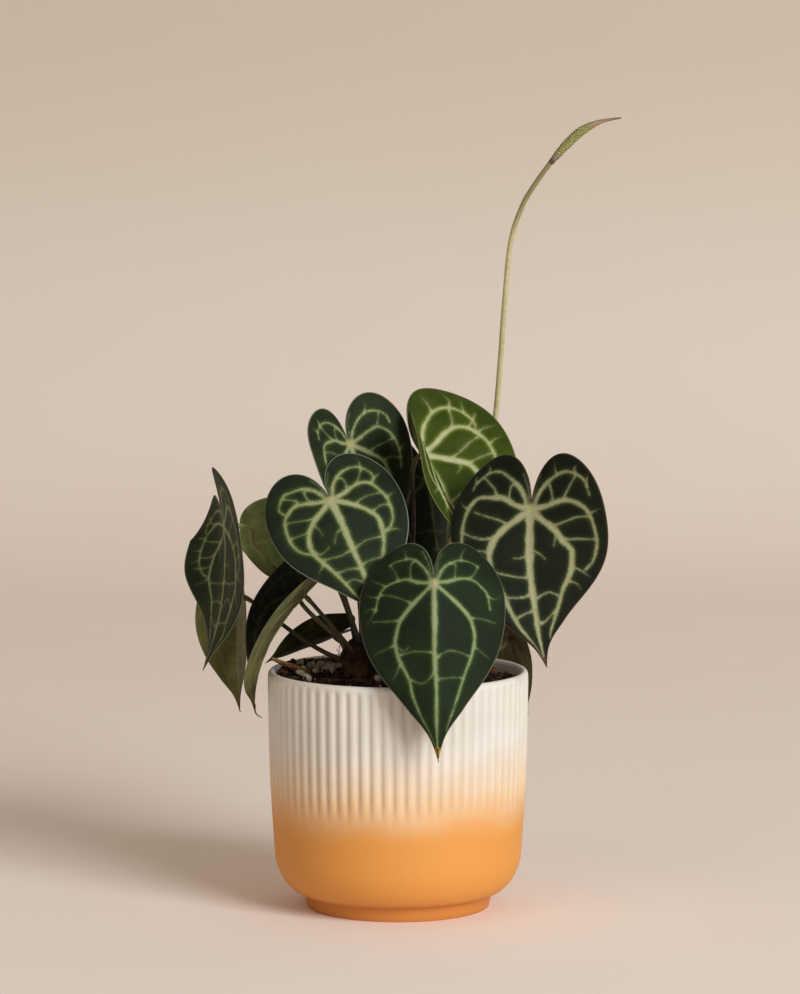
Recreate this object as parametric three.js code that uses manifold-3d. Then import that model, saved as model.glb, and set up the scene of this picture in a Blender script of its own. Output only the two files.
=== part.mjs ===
// A potted anthurium clarinervium: a fluted ceramic pot filled with soil, a short stem base,
// twelve heart-shaped leaves on their stalks, and one flower stalk with its spadix.
// Millimetres, +Z up. The origin is the centre of the pot's flat foot. The plant faces -Y.
import * as THREE from "three";
import { mergeVertices } from "three/addons/utils/BufferGeometryUtils.js";
import Module from "manifold-3d";

const wasm = await Module();
wasm.setup();

// Driving dimensions of the pot
const POT_HEIGHT = 128.2;
const RIM_RADIUS = 70;
const FOOT_RADIUS = 49.2;
const POT_FLOOR = 8;
const FLUTES = 70;
const FLUTE_DEPTH = 0.9;
const FLUTE_START_DEG = -84.48; // where the middle of the first rib stands, seen from above

// Driving dimensions of the soil and the stem base
const SOIL_EDGE = 121.5;
const SOIL_MOUND = 4;
const STEM_AXIS = { x: -16, y: 0 };
const STEM_RADIUS = 16;
const STEM_TOP = 147;

// Driving dimensions of the plant
const GAP = 0.3; // kept between pieces that touch
const BLADE_THICKNESS = 0.7;
const EDGE_WAVE = 0.006; // height of the waves of a blade's margin, as a share of its length
const STALK_RADIUS = 1.25;
const STALK_SIDES = 7;

// Each leaf: where its stalk joins the blade, where the tip points (heading around Z, drop below
// level), its roll about that line, its length, and how the blade is bent. Degrees and millimetres.
// arch and back bend the front and the lobes along the midrib, fold and curl raise the two halves
// (left, right) across it, twist turns the section on its way to the tip, sway bends the midrib
// sideways. width and lobes (left, right) stretch the heart outline. The stalk leaves the stem
// base at root towards lift, seen from root. It reaches the hub from arrive, seen from the hub, and
// passes through the points in via, if there are any.
const LEAVES = {
  front: {
    hub: [18.6, -72, 184], heading: -89, drop: 62, roll: -1, length: 94.5, arch: 34, back: -87,
    fold: [-22, -21], curl: [-41, -33], twist: 4, sway: -0.03, width: 0.93, lobes: [1, 1],
    root: [-8.9, -6.0, 137.9], lift: [6, -12, 52], arrive: [-0.5, 21.7, -10.6], colour: "#24401f",
  },
  right: {
    hub: [69.8, -38, 219], heading: -108, drop: 77, roll: -14, length: 85.6, arch: 26, back: -6,
    fold: [-4, 14], curl: [-25, -16], twist: 55, sway: -0.12, width: 0.98, lobes: [1, 1.03],
    root: [-6.4, -2.4, 136.3], lift: [26, -19, 43], arrive: [5.1, 16.4, -4.6], colour: "#1c2f1b",
  },
  left: {
    hub: [-35.7, -28, 222.7], heading: -55, drop: 46, roll: -21, length: 73.6, arch: 39, back: 0,
    fold: [1, -11], curl: [-17, -25], twist: -1, sway: -0.07, width: 1.02, lobes: [1.03, 0.98],
    root: [-18.9, -3.8, 137.0], lift: [-10, -8, 35], arrive: [-6.5, 18.8, -19.2], colour: "#21371f",
  },
  upper_left: {
    hub: [-26.2, 12, 249], heading: -34, drop: 68, roll: -10, length: 71.7, arch: 19, back: 13,
    fold: [19, 11], curl: [-17, -14], twist: 11, sway: 0, width: 1.03, lobes: [1.05, 0.87],
    root: [-19.1, 4.2, 139.9], lift: [-3, 6, 76], arrive: [-16.0, 18.3, -9.1], colour: "#1f341e",
  },
  young: {
    hub: [12.4, 12, 243.3], heading: -35, drop: 54, roll: 36, length: 80.3, arch: 2, back: -12,
    fold: [64, 14], curl: [0, -59], twist: -35, sway: 0, width: 1.1, lobes: [1.35, 0.7],
    root: [-5, 1, 138.3], lift: [25, 8, 70], arrive: [-12.7, 9.9, -11.0], colour: "#4f6a1c",
  },
  far_left: {
    hub: [-93, -10, 207.7], heading: 111, drop: 108, roll: 32, length: 80.1, arch: -33, back: 90,
    fold: [-50, 38], curl: [8, 103], twist: 20, sway: -0.06, width: 1.15, lobes: [0.81, 0.92],
    root: [-27, 1, 137], lift: [-4, 0, 7], arrive: [13, 15, -4],
    via: [
      [-38.7, 1, 150.4], [-49.4, 0, 161], [-55, 5, 168], [-62, 18, 175], [-70, 26, 183],
      [-79, 26, 194],
    ],
    colour: "#26391f",
  },
  low_left: {
    hub: [-89, 33, 164.9], heading: 147, drop: 91, roll: 4, length: 64.6, arch: 3, back: 10,
    fold: [11, 24], curl: [-4, -7], twist: -12, sway: 0.02, width: 0.95, lobes: [1, 1],
    root: [-26, -2, 132], lift: [-30, -1, 10], arrive: [14, 2, -3], colour: "#3a3d22",
  },
  behind_left: {
    hub: [-57.6, 34, 199.5], heading: 146, drop: 23, roll: -62, length: 49.8, arch: -30, back: 0,
    fold: [-1, -27], curl: [-19, -19], twist: -1, sway: 0, width: 1, lobes: [0.96, 1.02],
    root: [-22, 9.5, 138.6], lift: [-7, 0, 36], arrive: [9, -13, 2], colour: "#3a4325",
  },
  folded: {
    hub: [-50.1, -10, 169.2], heading: 185, drop: 45, roll: 37, length: 78.3, arch: 60, back: -2,
    fold: [57, -5], curl: [-14, -17], twist: 2, sway: 0.03, width: 0.92, lobes: [1, 1],
    root: [-21.1, -7.5, 135.4], lift: [-9, -3, 11], arrive: [2, 6, -1.5], colour: "#1d2a18",
  },
  small: {
    hub: [-35.3, 24, 144.1], heading: 185, drop: 15, roll: -29, length: 40.9, arch: 17, back: 0,
    fold: [21, 16], curl: [-19, -8], twist: -10, sway: 0, width: 0.9, lobes: [1, 1],
    root: [-25.9, 6.8, 135.3], lift: [-3, 6, 8], arrive: [2.5, -3.9, -5.0], colour: "#232a18",
  },
  back_right: {
    hub: [60.9, 43, 140.9], heading: 31, drop: 75, roll: -1, length: 47, arch: 0, back: 5,
    fold: [2, -2], curl: [-12, -15], twist: 1, sway: 0.02, width: 0.93, lobes: [1, 1],
    root: [-3, 1, 133], lift: [42, 20, -5], arrive: [-2.4, -14.5, -9], colour: "#33381f",
  },
  shaded: {
    hub: [15.7, 44, 227.2], heading: -43, drop: 76, roll: -4, length: 74, arch: 10, back: -20,
    fold: [-19, -8], curl: [-22, -22], twist: 1, sway: 0, width: 0.92, lobes: [1, 1],
    root: [-12, 10, 137], lift: [-2, 28, 40], arrive: [-12, 16, -6], colour: "#151d12",
  },
};

const rad = THREE.MathUtils.degToRad;
const part = new THREE.Group();

// Adds a solid to the part under its own name, with its own material.
function add(name, geometry, colour, roughness) {
  const material = new THREE.MeshStandardMaterial({ color: colour, roughness, metalness: 0 });
  const mesh = new THREE.Mesh(geometry, material);
  mesh.name = name;
  part.add(mesh);
}

// Turns a closed geometry into a solid that can be joined and cut.
function solid(geometry) {
  const bare = geometry.clone();
  bare.deleteAttribute("normal");
  bare.deleteAttribute("uv");
  const merged = mergeVertices(bare, 1e-4);
  return new wasm.Manifold(
    new wasm.Mesh({
      numProp: 3,
      vertProperties: merged.attributes.position.array,
      triVerts: new Uint32Array(merged.index.array),
    }),
  );
}

// Turns a solid back into a geometry.
function geometryOf(body) {
  const mesh = body.getMesh();
  const geometry = new THREE.BufferGeometry();
  geometry.setAttribute("position", new THREE.BufferAttribute(mesh.vertProperties, 3));
  geometry.setIndex(new THREE.BufferAttribute(mesh.triVerts, 1));
  return geometry;
}

// Keeps the largest of the bodies that a cut leaves.
function largest(body) {
  return body.decompose().sort((a, b) => b.volume() - a.volume())[0];
}

// Builds an indexed geometry from points and triangles.
function meshOf(points, triangles) {
  const geometry = new THREE.BufferGeometry().setFromPoints(points);
  geometry.setIndex(triangles.flat());
  return geometry;
}

// A seeded draw between low and high, the same at every run.
function seeded(seed) {
  let state = seed;
  return (low, high) => {
    state = (state * 1664525 + 1013904223) % 4294967296;
    return low + ((high - low) * state) / 4294967296;
  };
}

// Closes a body of rows of points round an axis, from its first row up to its last.
// A row may hold twice as many points as its neighbour: each even point then faces a point there.
function rowsSolid(rows) {
  const points = rows.flat();
  const starts = [];
  let count = 0;
  for (const row of rows) {
    starts.push(count);
    count += row.length;
  }
  const triangles = [];
  for (let r = 0; r + 1 < rows.length; r++) {
    const a = rows[r].length;
    const b = rows[r + 1].length;
    const low = (i) => starts[r] + (i % a);
    const high = (i) => starts[r + 1] + (i % b);
    for (let i = 0; i < Math.min(a, b); i++) {
      if (a === b) triangles.push([low(i), low(i + 1), high(i + 1)], [low(i), high(i + 1), high(i)]);
      if (a < b) {
        triangles.push([low(i), high(2 * i + 1), high(2 * i)]);
        triangles.push([low(i), low(i + 1), high(2 * i + 1)]);
        triangles.push([low(i + 1), high(2 * i + 2), high(2 * i + 1)]);
      }
      if (a > b) {
        triangles.push([low(2 * i), low(2 * i + 1), high(i)]);
        triangles.push([low(2 * i + 1), high(i + 1), high(i)]);
        triangles.push([low(2 * i + 1), low(2 * i + 2), high(i + 1)]);
      }
    }
  }
  // The first and the last row are closed by a fan about their middle.
  for (const [row, start, up] of [
    [rows[0], starts[0], false],
    [rows[rows.length - 1], starts[rows.length - 1], true],
  ]) {
    const middle = new THREE.Vector3();
    row.forEach((p) => middle.add(p));
    points.push(middle.divideScalar(row.length));
    const m = points.length - 1;
    for (let i = 0; i < row.length; i++) {
      const next = start + ((i + 1) % row.length);
      triangles.push(up ? [start + i, next, m] : [next, start + i, m]);
    }
  }
  return meshOf(points, triangles);
}

// A ring of points at a height, with a radius that may change round it.
function ring(z, radius, count, startDeg = 0) {
  const row = [];
  for (let i = 0; i < count; i++) {
    const angle = rad(startDeg) + (2 * Math.PI * i) / count;
    const r = typeof radius === "function" ? radius(angle, i) : radius;
    row.push(new THREE.Vector3(r * Math.cos(angle), r * Math.sin(angle), z));
  }
  return row;
}

// Pot: a smooth rounded lower body on a short foot, an upper body with upright flutes,
// a rounded lip and a hollow inside. Each entry is a height and a radius.
const POT_LOWER = [
  [0, FOOT_RADIUS], [6.5, FOOT_RADIUS + 1.4], [8, FOOT_RADIUS + 1.6], [9.2, 55.4], [13.2, 60.2],
  [17.6, 63.2], [26.4, 66.2], [40, 67.2], [56, 68.2],
];
const POT_FLUTED = [[66, 68.8], [95, 69.6], [121, RIM_RADIUS]];
const POT_LIP = [
  [124.5, RIM_RADIUS], [127.2, RIM_RADIUS - 0.4], [POT_HEIGHT, RIM_RADIUS - 1.4],
  [POT_HEIGHT, RIM_RADIUS - 2.6], [127.2, RIM_RADIUS - 3.7], [123, RIM_RADIUS - 4],
];
const POT_INSIDE = [
  [60, 64.3], [26, 61.8], [16, 56], [10, 48], [POT_FLOOR, 40],
];

function fluted(z, radius) {
  const r = (angle, i) => (i % 2 ? radius - FLUTE_DEPTH : radius);
  return ring(z, r, 2 * FLUTES, FLUTE_START_DEG);
}

function pot() {
  const smooth = ([z, r]) => ring(z, r, FLUTES, FLUTE_START_DEG);
  const rows = [
    ...POT_LOWER.map(smooth),
    ...POT_FLUTED.map(([z, r]) => fluted(z, r)),
    ...POT_LIP.map(smooth),
    ...POT_INSIDE.map(smooth),
  ];
  return rowsSolid(rows);
}

// Stem base: a lumpy stump, leaf scars and old sheaths as swells round it. grow makes it larger
// on all sides, to cut its hole and its seats with.
const STEM_PROFILE = [
  [94, 0.55], [100, 0.8], [112, 1], [124, 1.02], [132, 1], [138, 0.9], [143, 0.66], [STEM_TOP, 0.3],
];

function stemBase(grow) {
  const rows = STEM_PROFILE.map(([z, share], k) => {
    const last = k === STEM_PROFILE.length - 1;
    const height = z + (last ? grow : k === 0 ? -grow : 0);
    const r = (angle) => {
      const swell = 1 + 0.06 * Math.sin(3 * angle + k) + 0.035 * Math.sin(7 * angle + 2 * k);
      return STEM_RADIUS * share * swell + 1.3 * grow;
    };
    return ring(height, r, 18);
  });
  return rowsSolid(rows).translate(STEM_AXIS.x, STEM_AXIS.y, 0);
}

// The height of the soil, mounded about the stem, with low lumps.
function soilHeight(x, y) {
  const away = (x - STEM_AXIS.x) ** 2 + (y - STEM_AXIS.y) ** 2;
  const lumps = 0.6 * Math.sin(x / 5 + 1) * Math.cos(y / 4) + 0.35 * Math.sin((x + y) / 3);
  return SOIL_EDGE + SOIL_MOUND * Math.exp(-away / (2 * 26 ** 2)) + lumps;
}

// Pebbles: one rounded stone, turned and squashed by a seeded draw.
function pebble(draw, x, y) {
  const stone = new THREE.IcosahedronGeometry(1, 0);
  stone.rotateX(draw(0, 3)).rotateY(draw(0, 3));
  stone.scale(draw(2.2, 3.6), draw(2, 3), draw(1.5, 2.2));
  stone.rotateZ(draw(0, 6));
  return stone.translate(x, y, soilHeight(x, y) + 0.2);
}

const SOIL_RADIUS = 65.5;
const PEBBLES = 44;

function soil() {
  const sides = FLUTES / 2;
  const inset = 0.5;
  const below = POT_INSIDE.slice().reverse();
  const rows = below.map(([z, r]) => ring(z + inset, r - inset, sides, FLUTE_START_DEG));
  for (const share of [1, 0.82, 0.6, 0.38, 0.16]) {
    const row = ring(0, SOIL_RADIUS * share, sides, FLUTE_START_DEG);
    row.forEach((p) => {
      p.z = soilHeight(p.x, p.y) - (share === 1 ? 1.5 : 0);
    });
    rows.push(row);
  }
  let body = solid(rowsSolid(rows));
  const draw = seeded(7);
  for (let i = 0; i < PEBBLES; i++) {
    const angle = draw(0, 2 * Math.PI);
    const r = 59 * Math.sqrt(draw(0.12, 1));
    body = body.add(solid(pebble(draw, r * Math.cos(angle), r * Math.sin(angle))));
  }
  return body;
}

// The heart outline: how far the margin lies from the stalk, as a share of the blade's length, at
// an angle from the tip. An oval, a drip tip that dies away in 10 degrees and a sinus at the back.
function outline(angle) {
  const deg = THREE.MathUtils.radToDeg(Math.abs(angle));
  const oval = 0.608 + 0.067 * Math.cos(2 * angle);
  const tip = 0.328 * Math.exp(-deg / 10);
  const sinus = 1 - 0.93 * Math.exp(-(180 - deg) / 36);
  return (oval + tip) * sinus;
}

// How far across and up a path comes that starts at a slope and turns evenly over its length.
function arc(length, slope, turn) {
  if (Math.abs(turn) < 1e-7) return [length * Math.cos(slope), length * Math.sin(slope)];
  const end = slope + turn * length;
  return [(Math.sin(end) - Math.sin(slope)) / turn, (Math.cos(slope) - Math.cos(end)) / turn];
}

// The three directions of a blade: across, along the midrib, and out of its upper face.
function bladeAxes(leaf) {
  const h = rad(leaf.heading);
  const d = rad(leaf.drop);
  const along = new THREE.Vector3(Math.cos(h) * Math.cos(d), Math.sin(h) * Math.cos(d), -Math.sin(d));
  const across = new THREE.Vector3(Math.sin(h), -Math.cos(h), 0);
  const out = new THREE.Vector3().crossVectors(across, along);
  across.applyAxisAngle(along, -rad(leaf.roll));
  out.applyAxisAngle(along, -rad(leaf.roll));
  return { across, along, out };
}

// A point of the blade, at an angle from the tip and at a share of the way to the margin.
function bladePoint(leaf, angle, share) {
  const size = leaf.length;
  const side = angle >= 0 ? 1 : 0;
  const lobe = 1 + ((leaf.lobes[side] - 1) * (1 - Math.cos(angle))) / 2;
  const r = outline(angle) * size * share * lobe;
  const u = r * Math.sin(angle) * leaf.width;
  const v = r * Math.cos(angle);
  const bend = (v >= 0 ? -rad(leaf.arch) : rad(leaf.back)) / size;
  const [forward, up] = arc(v, 0, bend);
  const [across, rise] = arc(Math.abs(u), rad(leaf.fold[side]), rad(leaf.curl[side]) / size);
  const turn = (rad(leaf.twist) * v) / size;
  const wave = EDGE_WAVE * size * share ** 3 * Math.sin(6 * angle + rad(leaf.heading));
  const x = Math.sign(u) * across * Math.cos(turn) - rise * Math.sin(turn);
  const h = Math.sign(u) * across * Math.sin(turn) + rise * Math.cos(turn) + wave;
  const slope = bend * v;
  const sway = (leaf.sway * v * v) / (2 * size);
  const axes = bladeAxes(leaf);
  return new THREE.Vector3(...leaf.hub)
    .addScaledVector(axes.across, x + sway)
    .addScaledVector(axes.along, forward - h * Math.sin(slope))
    .addScaledVector(axes.out, up + h * Math.cos(slope));
}

const HALF_ANGLES = [4, 10, 20, 34, 50, 68, 86, 104, 122, 138, 152, 165];
const SPOKES = [...HALF_ANGLES.map((a) => -a).reverse(), 0, ...HALF_ANGLES, 180].map(rad);
const BLADE_RINGS = [0.3, 0.55, 0.8, 1];

// The middle surface of a blade: rings of points about the hub, with the normals at its points.
function bladeSheet(leaf) {
  const points = [new THREE.Vector3(...leaf.hub)];
  for (const share of BLADE_RINGS) {
    for (const angle of SPOKES) points.push(bladePoint(leaf, angle, share));
  }
  const n = SPOKES.length;
  const at = (k, i) => 1 + k * n + (i % n);
  const triangles = [];
  for (let i = 0; i < n; i++) {
    triangles.push([0, at(0, i + 1), at(0, i)]);
    for (let k = 0; k + 1 < BLADE_RINGS.length; k++) {
      triangles.push([at(k, i), at(k, i + 1), at(k + 1, i + 1)]);
      triangles.push([at(k, i), at(k + 1, i + 1), at(k + 1, i)]);
    }
  }
  const sheet = meshOf(points, triangles);
  sheet.computeVertexNormals();
  const normal = sheet.attributes.normal;
  const normals = points.map((p, i) => new THREE.Vector3().fromBufferAttribute(normal, i));
  return { points, triangles, normals, edge: BLADE_RINGS.length - 1, at, n };
}

// A blade with its thickness: the sheet moved out to both faces, and a rim between them.
function blade(leaf) {
  const { points, triangles, normals, edge, at, n } = bladeSheet(leaf);
  const half = BLADE_THICKNESS / 2;
  const upper = points.map((p, i) => p.clone().addScaledVector(normals[i], half));
  const lower = points.map((p, i) => p.clone().addScaledVector(normals[i], -half));
  const below = points.length;
  const faces = triangles.slice();
  for (const [a, b, c] of triangles) faces.push([below + a, below + c, below + b]);
  for (let i = 0; i < n; i++) {
    const p = at(edge, i);
    const q = at(edge, i + 1);
    faces.push([p, q, below + q], [p, below + q, below + p]);
  }
  return meshOf([...upper, ...lower], faces);
}

// A tube along a curve, with a radius that changes on its way and flat closed ends.
function taperedTube(curve, steps, sides, radiusAt, flat = 1) {
  const frames = curve.computeFrenetFrames(steps, false);
  const rows = [];
  for (let k = 0; k <= steps; k++) {
    const t = k / steps;
    const centre = curve.getPointAt(t);
    const row = [];
    for (let i = 0; i < sides; i++) {
      const angle = (2 * Math.PI * i) / sides;
      const r = radiusAt(t, angle);
      row.push(
        centre
          .clone()
          .addScaledVector(frames.normals[k], r * Math.cos(angle))
          .addScaledVector(frames.binormals[k], r * flat * Math.sin(angle)),
      );
    }
    rows.push(row);
  }
  return rowsSolid(rows);
}

// The line of a leaf stalk, from the stem base to a point under the hub of its blade. A stalk
// with via points bends round its neighbours on its way.
function stalkCurve(leaf, clear) {
  const root = new THREE.Vector3(...leaf.root);
  const lift = new THREE.Vector3(...leaf.lift).add(root);
  const hub = new THREE.Vector3(...leaf.hub);
  const arrive = new THREE.Vector3(...leaf.arrive);
  const end = hub.clone().addScaledVector(arrive.clone().normalize(), clear);
  if (leaf.via) {
    const bends = leaf.via.map((p) => new THREE.Vector3(...p));
    return new THREE.CatmullRomCurve3([root, lift, ...bends, hub.clone().add(arrive), end]);
  }
  return new THREE.CubicBezierCurve3(root, lift, hub.clone().add(arrive), end);
}

// The radius of a leaf stalk: thicker at its foot, with a slight knee under the blade.
function stalkRadius(t) {
  const foot = 0.8 * Math.exp(-t / 0.08);
  const knee = 0.3 * Math.exp(-(((t - 0.93) / 0.045) ** 2));
  return STALK_RADIUS * (1 - 0.12 * t) + foot + knee - 0.25 * Math.exp((t - 1) / 0.02);
}

// A leaf stalk that ends as close under its blade as the gap allows.
function stalk(leaf, bladeBody) {
  for (let clear = BLADE_THICKNESS / 2 + GAP; clear < 8; clear += 0.1) {
    const tube = solid(taperedTube(stalkCurve(leaf, clear), 16, STALK_SIDES, stalkRadius));
    if (tube.minGap(bladeBody, 2) >= GAP) return tube;
  }
  throw new Error("a stalk does not clear its blade");
}

// Flower stalk and spadix, on one line that rises behind the leaves and bends to the right.
const FLOWER_LINE = [
  [-7, 8, 136], [5, 16, 158], [24, 24, 186], [42, 34, 222], [50.5, 44, 248], [53.3, 45, 262.4],
  [55.5, 36, 291.8], [57.1, 24, 320.1], [60.2, 12, 356.6], [66, 6, 375.9], [72, 2, 387],
  [81, -2.5, 399.6],
];
const SPADIX_LINE = [
  [82.6, -3.2, 401.7], [89, -5, 409], [97, -7, 416.5], [107, -9, 421.5], [118, -11, 423.6],
];
const SCAR_LINE = [[81.2, -2.6, 399.9], [81.8, -2.9, 400.7], [82.3, -3.1, 401.4]];
const FLOWER_STALK_RADIUS = 1.6;
const SCALES_END = 0.62; // share of the spadix, from its foot, that is covered by scales
const SPADIX_SHAPE = [ // share of the way along the spadix, and its radius there
  [0, 1.6], [0.1, 2.1], [0.25, 2.5], [0.45, 2.6], [0.6, 2.1], [0.7, 1.5], [0.8, 1], [0.9, 0.6],
  [1, 0.3],
];

function through(points) {
  return new THREE.CatmullRomCurve3(points.map((p) => new THREE.Vector3(...p)));
}

// The radius of the flower stalk, wider at its foot.
function flowerStalkRadius(t) {
  return FLOWER_STALK_RADIUS * (1 - 0.3 * t) + 0.8 * Math.exp(-t / 0.05);
}

// The radius of the ring that the fallen spathe left.
function scarRadius(t) {
  return 1.9 + 0.7 * Math.sin(Math.PI * t);
}

// The radius of the spadix: a spindle with low scales up to where its bare tip starts.
function spadixRadius(t, angle) {
  const next = Math.max(1, SPADIX_SHAPE.findIndex(([share]) => share >= t - 1e-9));
  const [t0, r0] = SPADIX_SHAPE[next - 1];
  const [t1, r1] = SPADIX_SHAPE[next];
  const shape = r0 + ((r1 - r0) * (t - t0)) / (t1 - t0);
  return shape + (t < SCALES_END ? 0.35 * Math.sin(4 * angle + 62 * t) * Math.sin(95 * t) : 0);
}

// Bark chips: a rough flat piece, thicker in the middle. grow makes it larger on all sides.
const CHIPS = {
  bark_chip_a: { at: [-24, 19, 124.6], size: [13, 7, 3], turn: 20, tilt: 8, colour: "#6a4530" },
  bark_chip_b: { at: [-21, -24, 125.4], size: [11, 6, 3], turn: -25, tilt: -6, colour: "#7a5238" },
  bark_chip_c: { at: [-33, 40, 124.4], size: [15, 5, 2.6], turn: -12, tilt: 5, colour: "#6e675c" },
  bark_chip_d: { at: [40, 12, 124], size: [12, 8, 3], turn: 70, tilt: 6, colour: "#4b3426" },
};
const CHIP_OUTLINE = [
  [-0.5, -0.3], [-0.2, -0.5], [0.34, -0.46], [0.5, -0.05], [0.3, 0.44], [-0.28, 0.5], [-0.48, 0.2],
];

function chip({ at, size, turn, tilt }, grow) {
  const scale = ([x, y]) => new THREE.Vector2(x * (size[0] + 2.4 * grow), y * (size[1] + 2.4 * grow));
  const shape = new THREE.Shape(CHIP_OUTLINE.map(scale));
  const depth = size[2] + 2 * grow;
  const plate = new THREE.ExtrudeGeometry(shape, { depth, bevelEnabled: false });
  plate.translate(0, 0, -depth / 2);
  const position = plate.attributes.position;
  for (let i = 0; i < position.count; i++) {
    if (position.getZ(i) > 0) position.setXY(i, position.getX(i) * 0.8, position.getY(i) * 0.75);
  }
  return plate.rotateX(rad(tilt)).rotateZ(rad(turn)).translate(...at);
}

// Dry sheath: a curled scale that lies from the soil up to the left rim.
const SHEATH_LINE = [
  [-33, -13, 123.5], [-40, -8, 124.6], [-48, -2, 126.2], [-56, 0, 129.2], [-62, -1, 131.6],
  [-68, -3, 134.4],
];

function sheath(grow) {
  const points = SHEATH_LINE.map((p) => p.slice());
  points[0] = points[0].map((v, i) => v + (2 * grow * (v - points[1][i])) / 8);
  const width = (t) => 1 + 1.3 * Math.sin(Math.PI * (0.1 + 0.85 * t)) ** 1.5 + grow;
  return taperedTube(through(points), 14, 8, width, grow ? 0.5 : 0.32);
}

const stem = solid(stemBase(0));
const stemSeat = solid(stemBase(GAP));

let soilBody = soil().subtract(stemSeat).subtract(solid(sheath(2 * GAP)));
for (const [name, spec] of Object.entries(CHIPS)) {
  soilBody = soilBody.subtract(solid(chip(spec, GAP)));
  add(name, chip(spec, 0), spec.colour, 0.95);
}

add("pot", pot(), "#e9e4da", 0.35);
add("soil", geometryOf(largest(soilBody)), "#2b211a", 1);
add("stem_base", geometryOf(stem), "#33241a", 0.95);
add("dry_sheath", geometryOf(largest(solid(sheath(0)).subtract(stemSeat))), "#a8642e", 0.8);

for (const [name, leaf] of Object.entries(LEAVES)) {
  const bladeBody = blade(leaf);
  const stalkBody = stalk(leaf, solid(bladeBody)).subtract(stemSeat);
  add("blade_" + name, bladeBody, leaf.colour, 0.6);
  add("stalk_" + name, geometryOf(largest(stalkBody)), "#4a4024", 0.6);
}

const flowerStalk = taperedTube(through(FLOWER_LINE), 26, STALK_SIDES, flowerStalkRadius);
add("flower_stalk", geometryOf(largest(solid(flowerStalk).subtract(stemSeat))), "#b9ad74", 0.55);
add("spathe_scar", taperedTube(through(SCAR_LINE), 4, 10, scarRadius), "#6d4a2c", 0.8);
add("spadix", taperedTube(through(SPADIX_LINE), 40, 12, spadixRadius), "#8f9440", 0.6);

export default part;
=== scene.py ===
# %% [markdown]
# # A potted anthurium clarinervium
# This lesson dresses a plain solid model of a house plant: a fluted ceramic pot, soil, a short
# stem base, heart-shaped velvet leaves with pale veins, their stalks, and one flower spike.
# The solids give every size and place. Each step replaces some of them with a finer piece of
# the same form, and gives it a finish that is worked out from noise and from measured distances.

import math

import bmesh
import bpy
import numpy as np
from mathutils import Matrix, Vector, noise
from mathutils.geometry import delaunay_2d_cdt


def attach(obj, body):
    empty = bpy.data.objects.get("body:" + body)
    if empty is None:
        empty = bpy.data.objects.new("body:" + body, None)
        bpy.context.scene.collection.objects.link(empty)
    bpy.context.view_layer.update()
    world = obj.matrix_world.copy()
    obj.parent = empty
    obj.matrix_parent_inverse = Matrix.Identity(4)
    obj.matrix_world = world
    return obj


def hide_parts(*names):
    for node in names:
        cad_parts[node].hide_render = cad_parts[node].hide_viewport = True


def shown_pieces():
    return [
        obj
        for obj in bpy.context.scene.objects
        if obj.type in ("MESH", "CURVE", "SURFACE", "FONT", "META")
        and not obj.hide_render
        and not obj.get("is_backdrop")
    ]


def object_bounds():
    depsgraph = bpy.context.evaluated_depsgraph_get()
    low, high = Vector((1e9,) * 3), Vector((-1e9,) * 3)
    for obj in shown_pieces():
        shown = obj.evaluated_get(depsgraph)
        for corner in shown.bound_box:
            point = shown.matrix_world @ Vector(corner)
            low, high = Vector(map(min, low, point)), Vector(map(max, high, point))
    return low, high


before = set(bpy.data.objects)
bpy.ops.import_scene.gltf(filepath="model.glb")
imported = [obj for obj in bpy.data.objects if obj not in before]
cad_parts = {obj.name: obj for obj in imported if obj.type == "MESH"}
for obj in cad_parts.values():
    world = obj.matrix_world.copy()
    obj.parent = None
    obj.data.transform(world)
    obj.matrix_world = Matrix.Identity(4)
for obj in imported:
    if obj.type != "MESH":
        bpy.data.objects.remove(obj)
cad_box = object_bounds()
MM = 0.001
print("nodes in the frame:", len(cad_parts))


# %% [markdown]
# ## Writing node trees as expressions
# A node tree is easier to read as a formula than as a picture of boxes. One small class wraps a
# socket, so that plus, minus and times add Math nodes, and one method adds any other node. The
# same two classes serve the finishes and the Geometry Nodes trees.

# %% Sockets that can be added and multiplied
def paint(code):
    """A colour as a painter writes it, #rrggbb, in the linear light that nodes use."""
    parts = [int(code[i : i + 2], 16) / 255 for i in (1, 3, 5)]
    light = [v / 12.92 if v < 0.04045 else ((v + 0.055) / 1.055) ** 2.4 for v in parts]
    return (*light, 1.0)


def plug(tree, socket, value):
    """Links a wire to a socket, or sets the socket to a value or a painter's colour."""
    if isinstance(value, Wire):
        tree.links.new(value.socket, socket)
    else:
        coded = isinstance(value, str) and value.startswith("#")
        socket.default_value = paint(value) if coded else value


class Wire:
    def __init__(self, tree, socket):
        self.tree = tree
        self.socket = socket

    def math(self, operation, *others, after=None):
        """A Math node on this value and the others, or on this value after another one."""
        node = self.tree.nodes.new("ShaderNodeMath")
        node.operation = operation
        values = (self, *others) if after is None else (after, self)
        for place, value in enumerate(values):
            plug(self.tree, node.inputs[place], value)
        return Wire(self.tree, node.outputs[0])

    def __add__(self, other):
        return self.math("ADD", other)

    def __radd__(self, other):
        return self.math("ADD", after=other)

    def __sub__(self, other):
        return self.math("SUBTRACT", other)

    def __rsub__(self, other):
        return self.math("SUBTRACT", after=other)

    def __mul__(self, other):
        return self.math("MULTIPLY", other)

    def __rmul__(self, other):
        return self.math("MULTIPLY", after=other)

    def __truediv__(self, other):
        return self.math("DIVIDE", other)

    def __pow__(self, other):
        return self.math("POWER", other)


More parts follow.
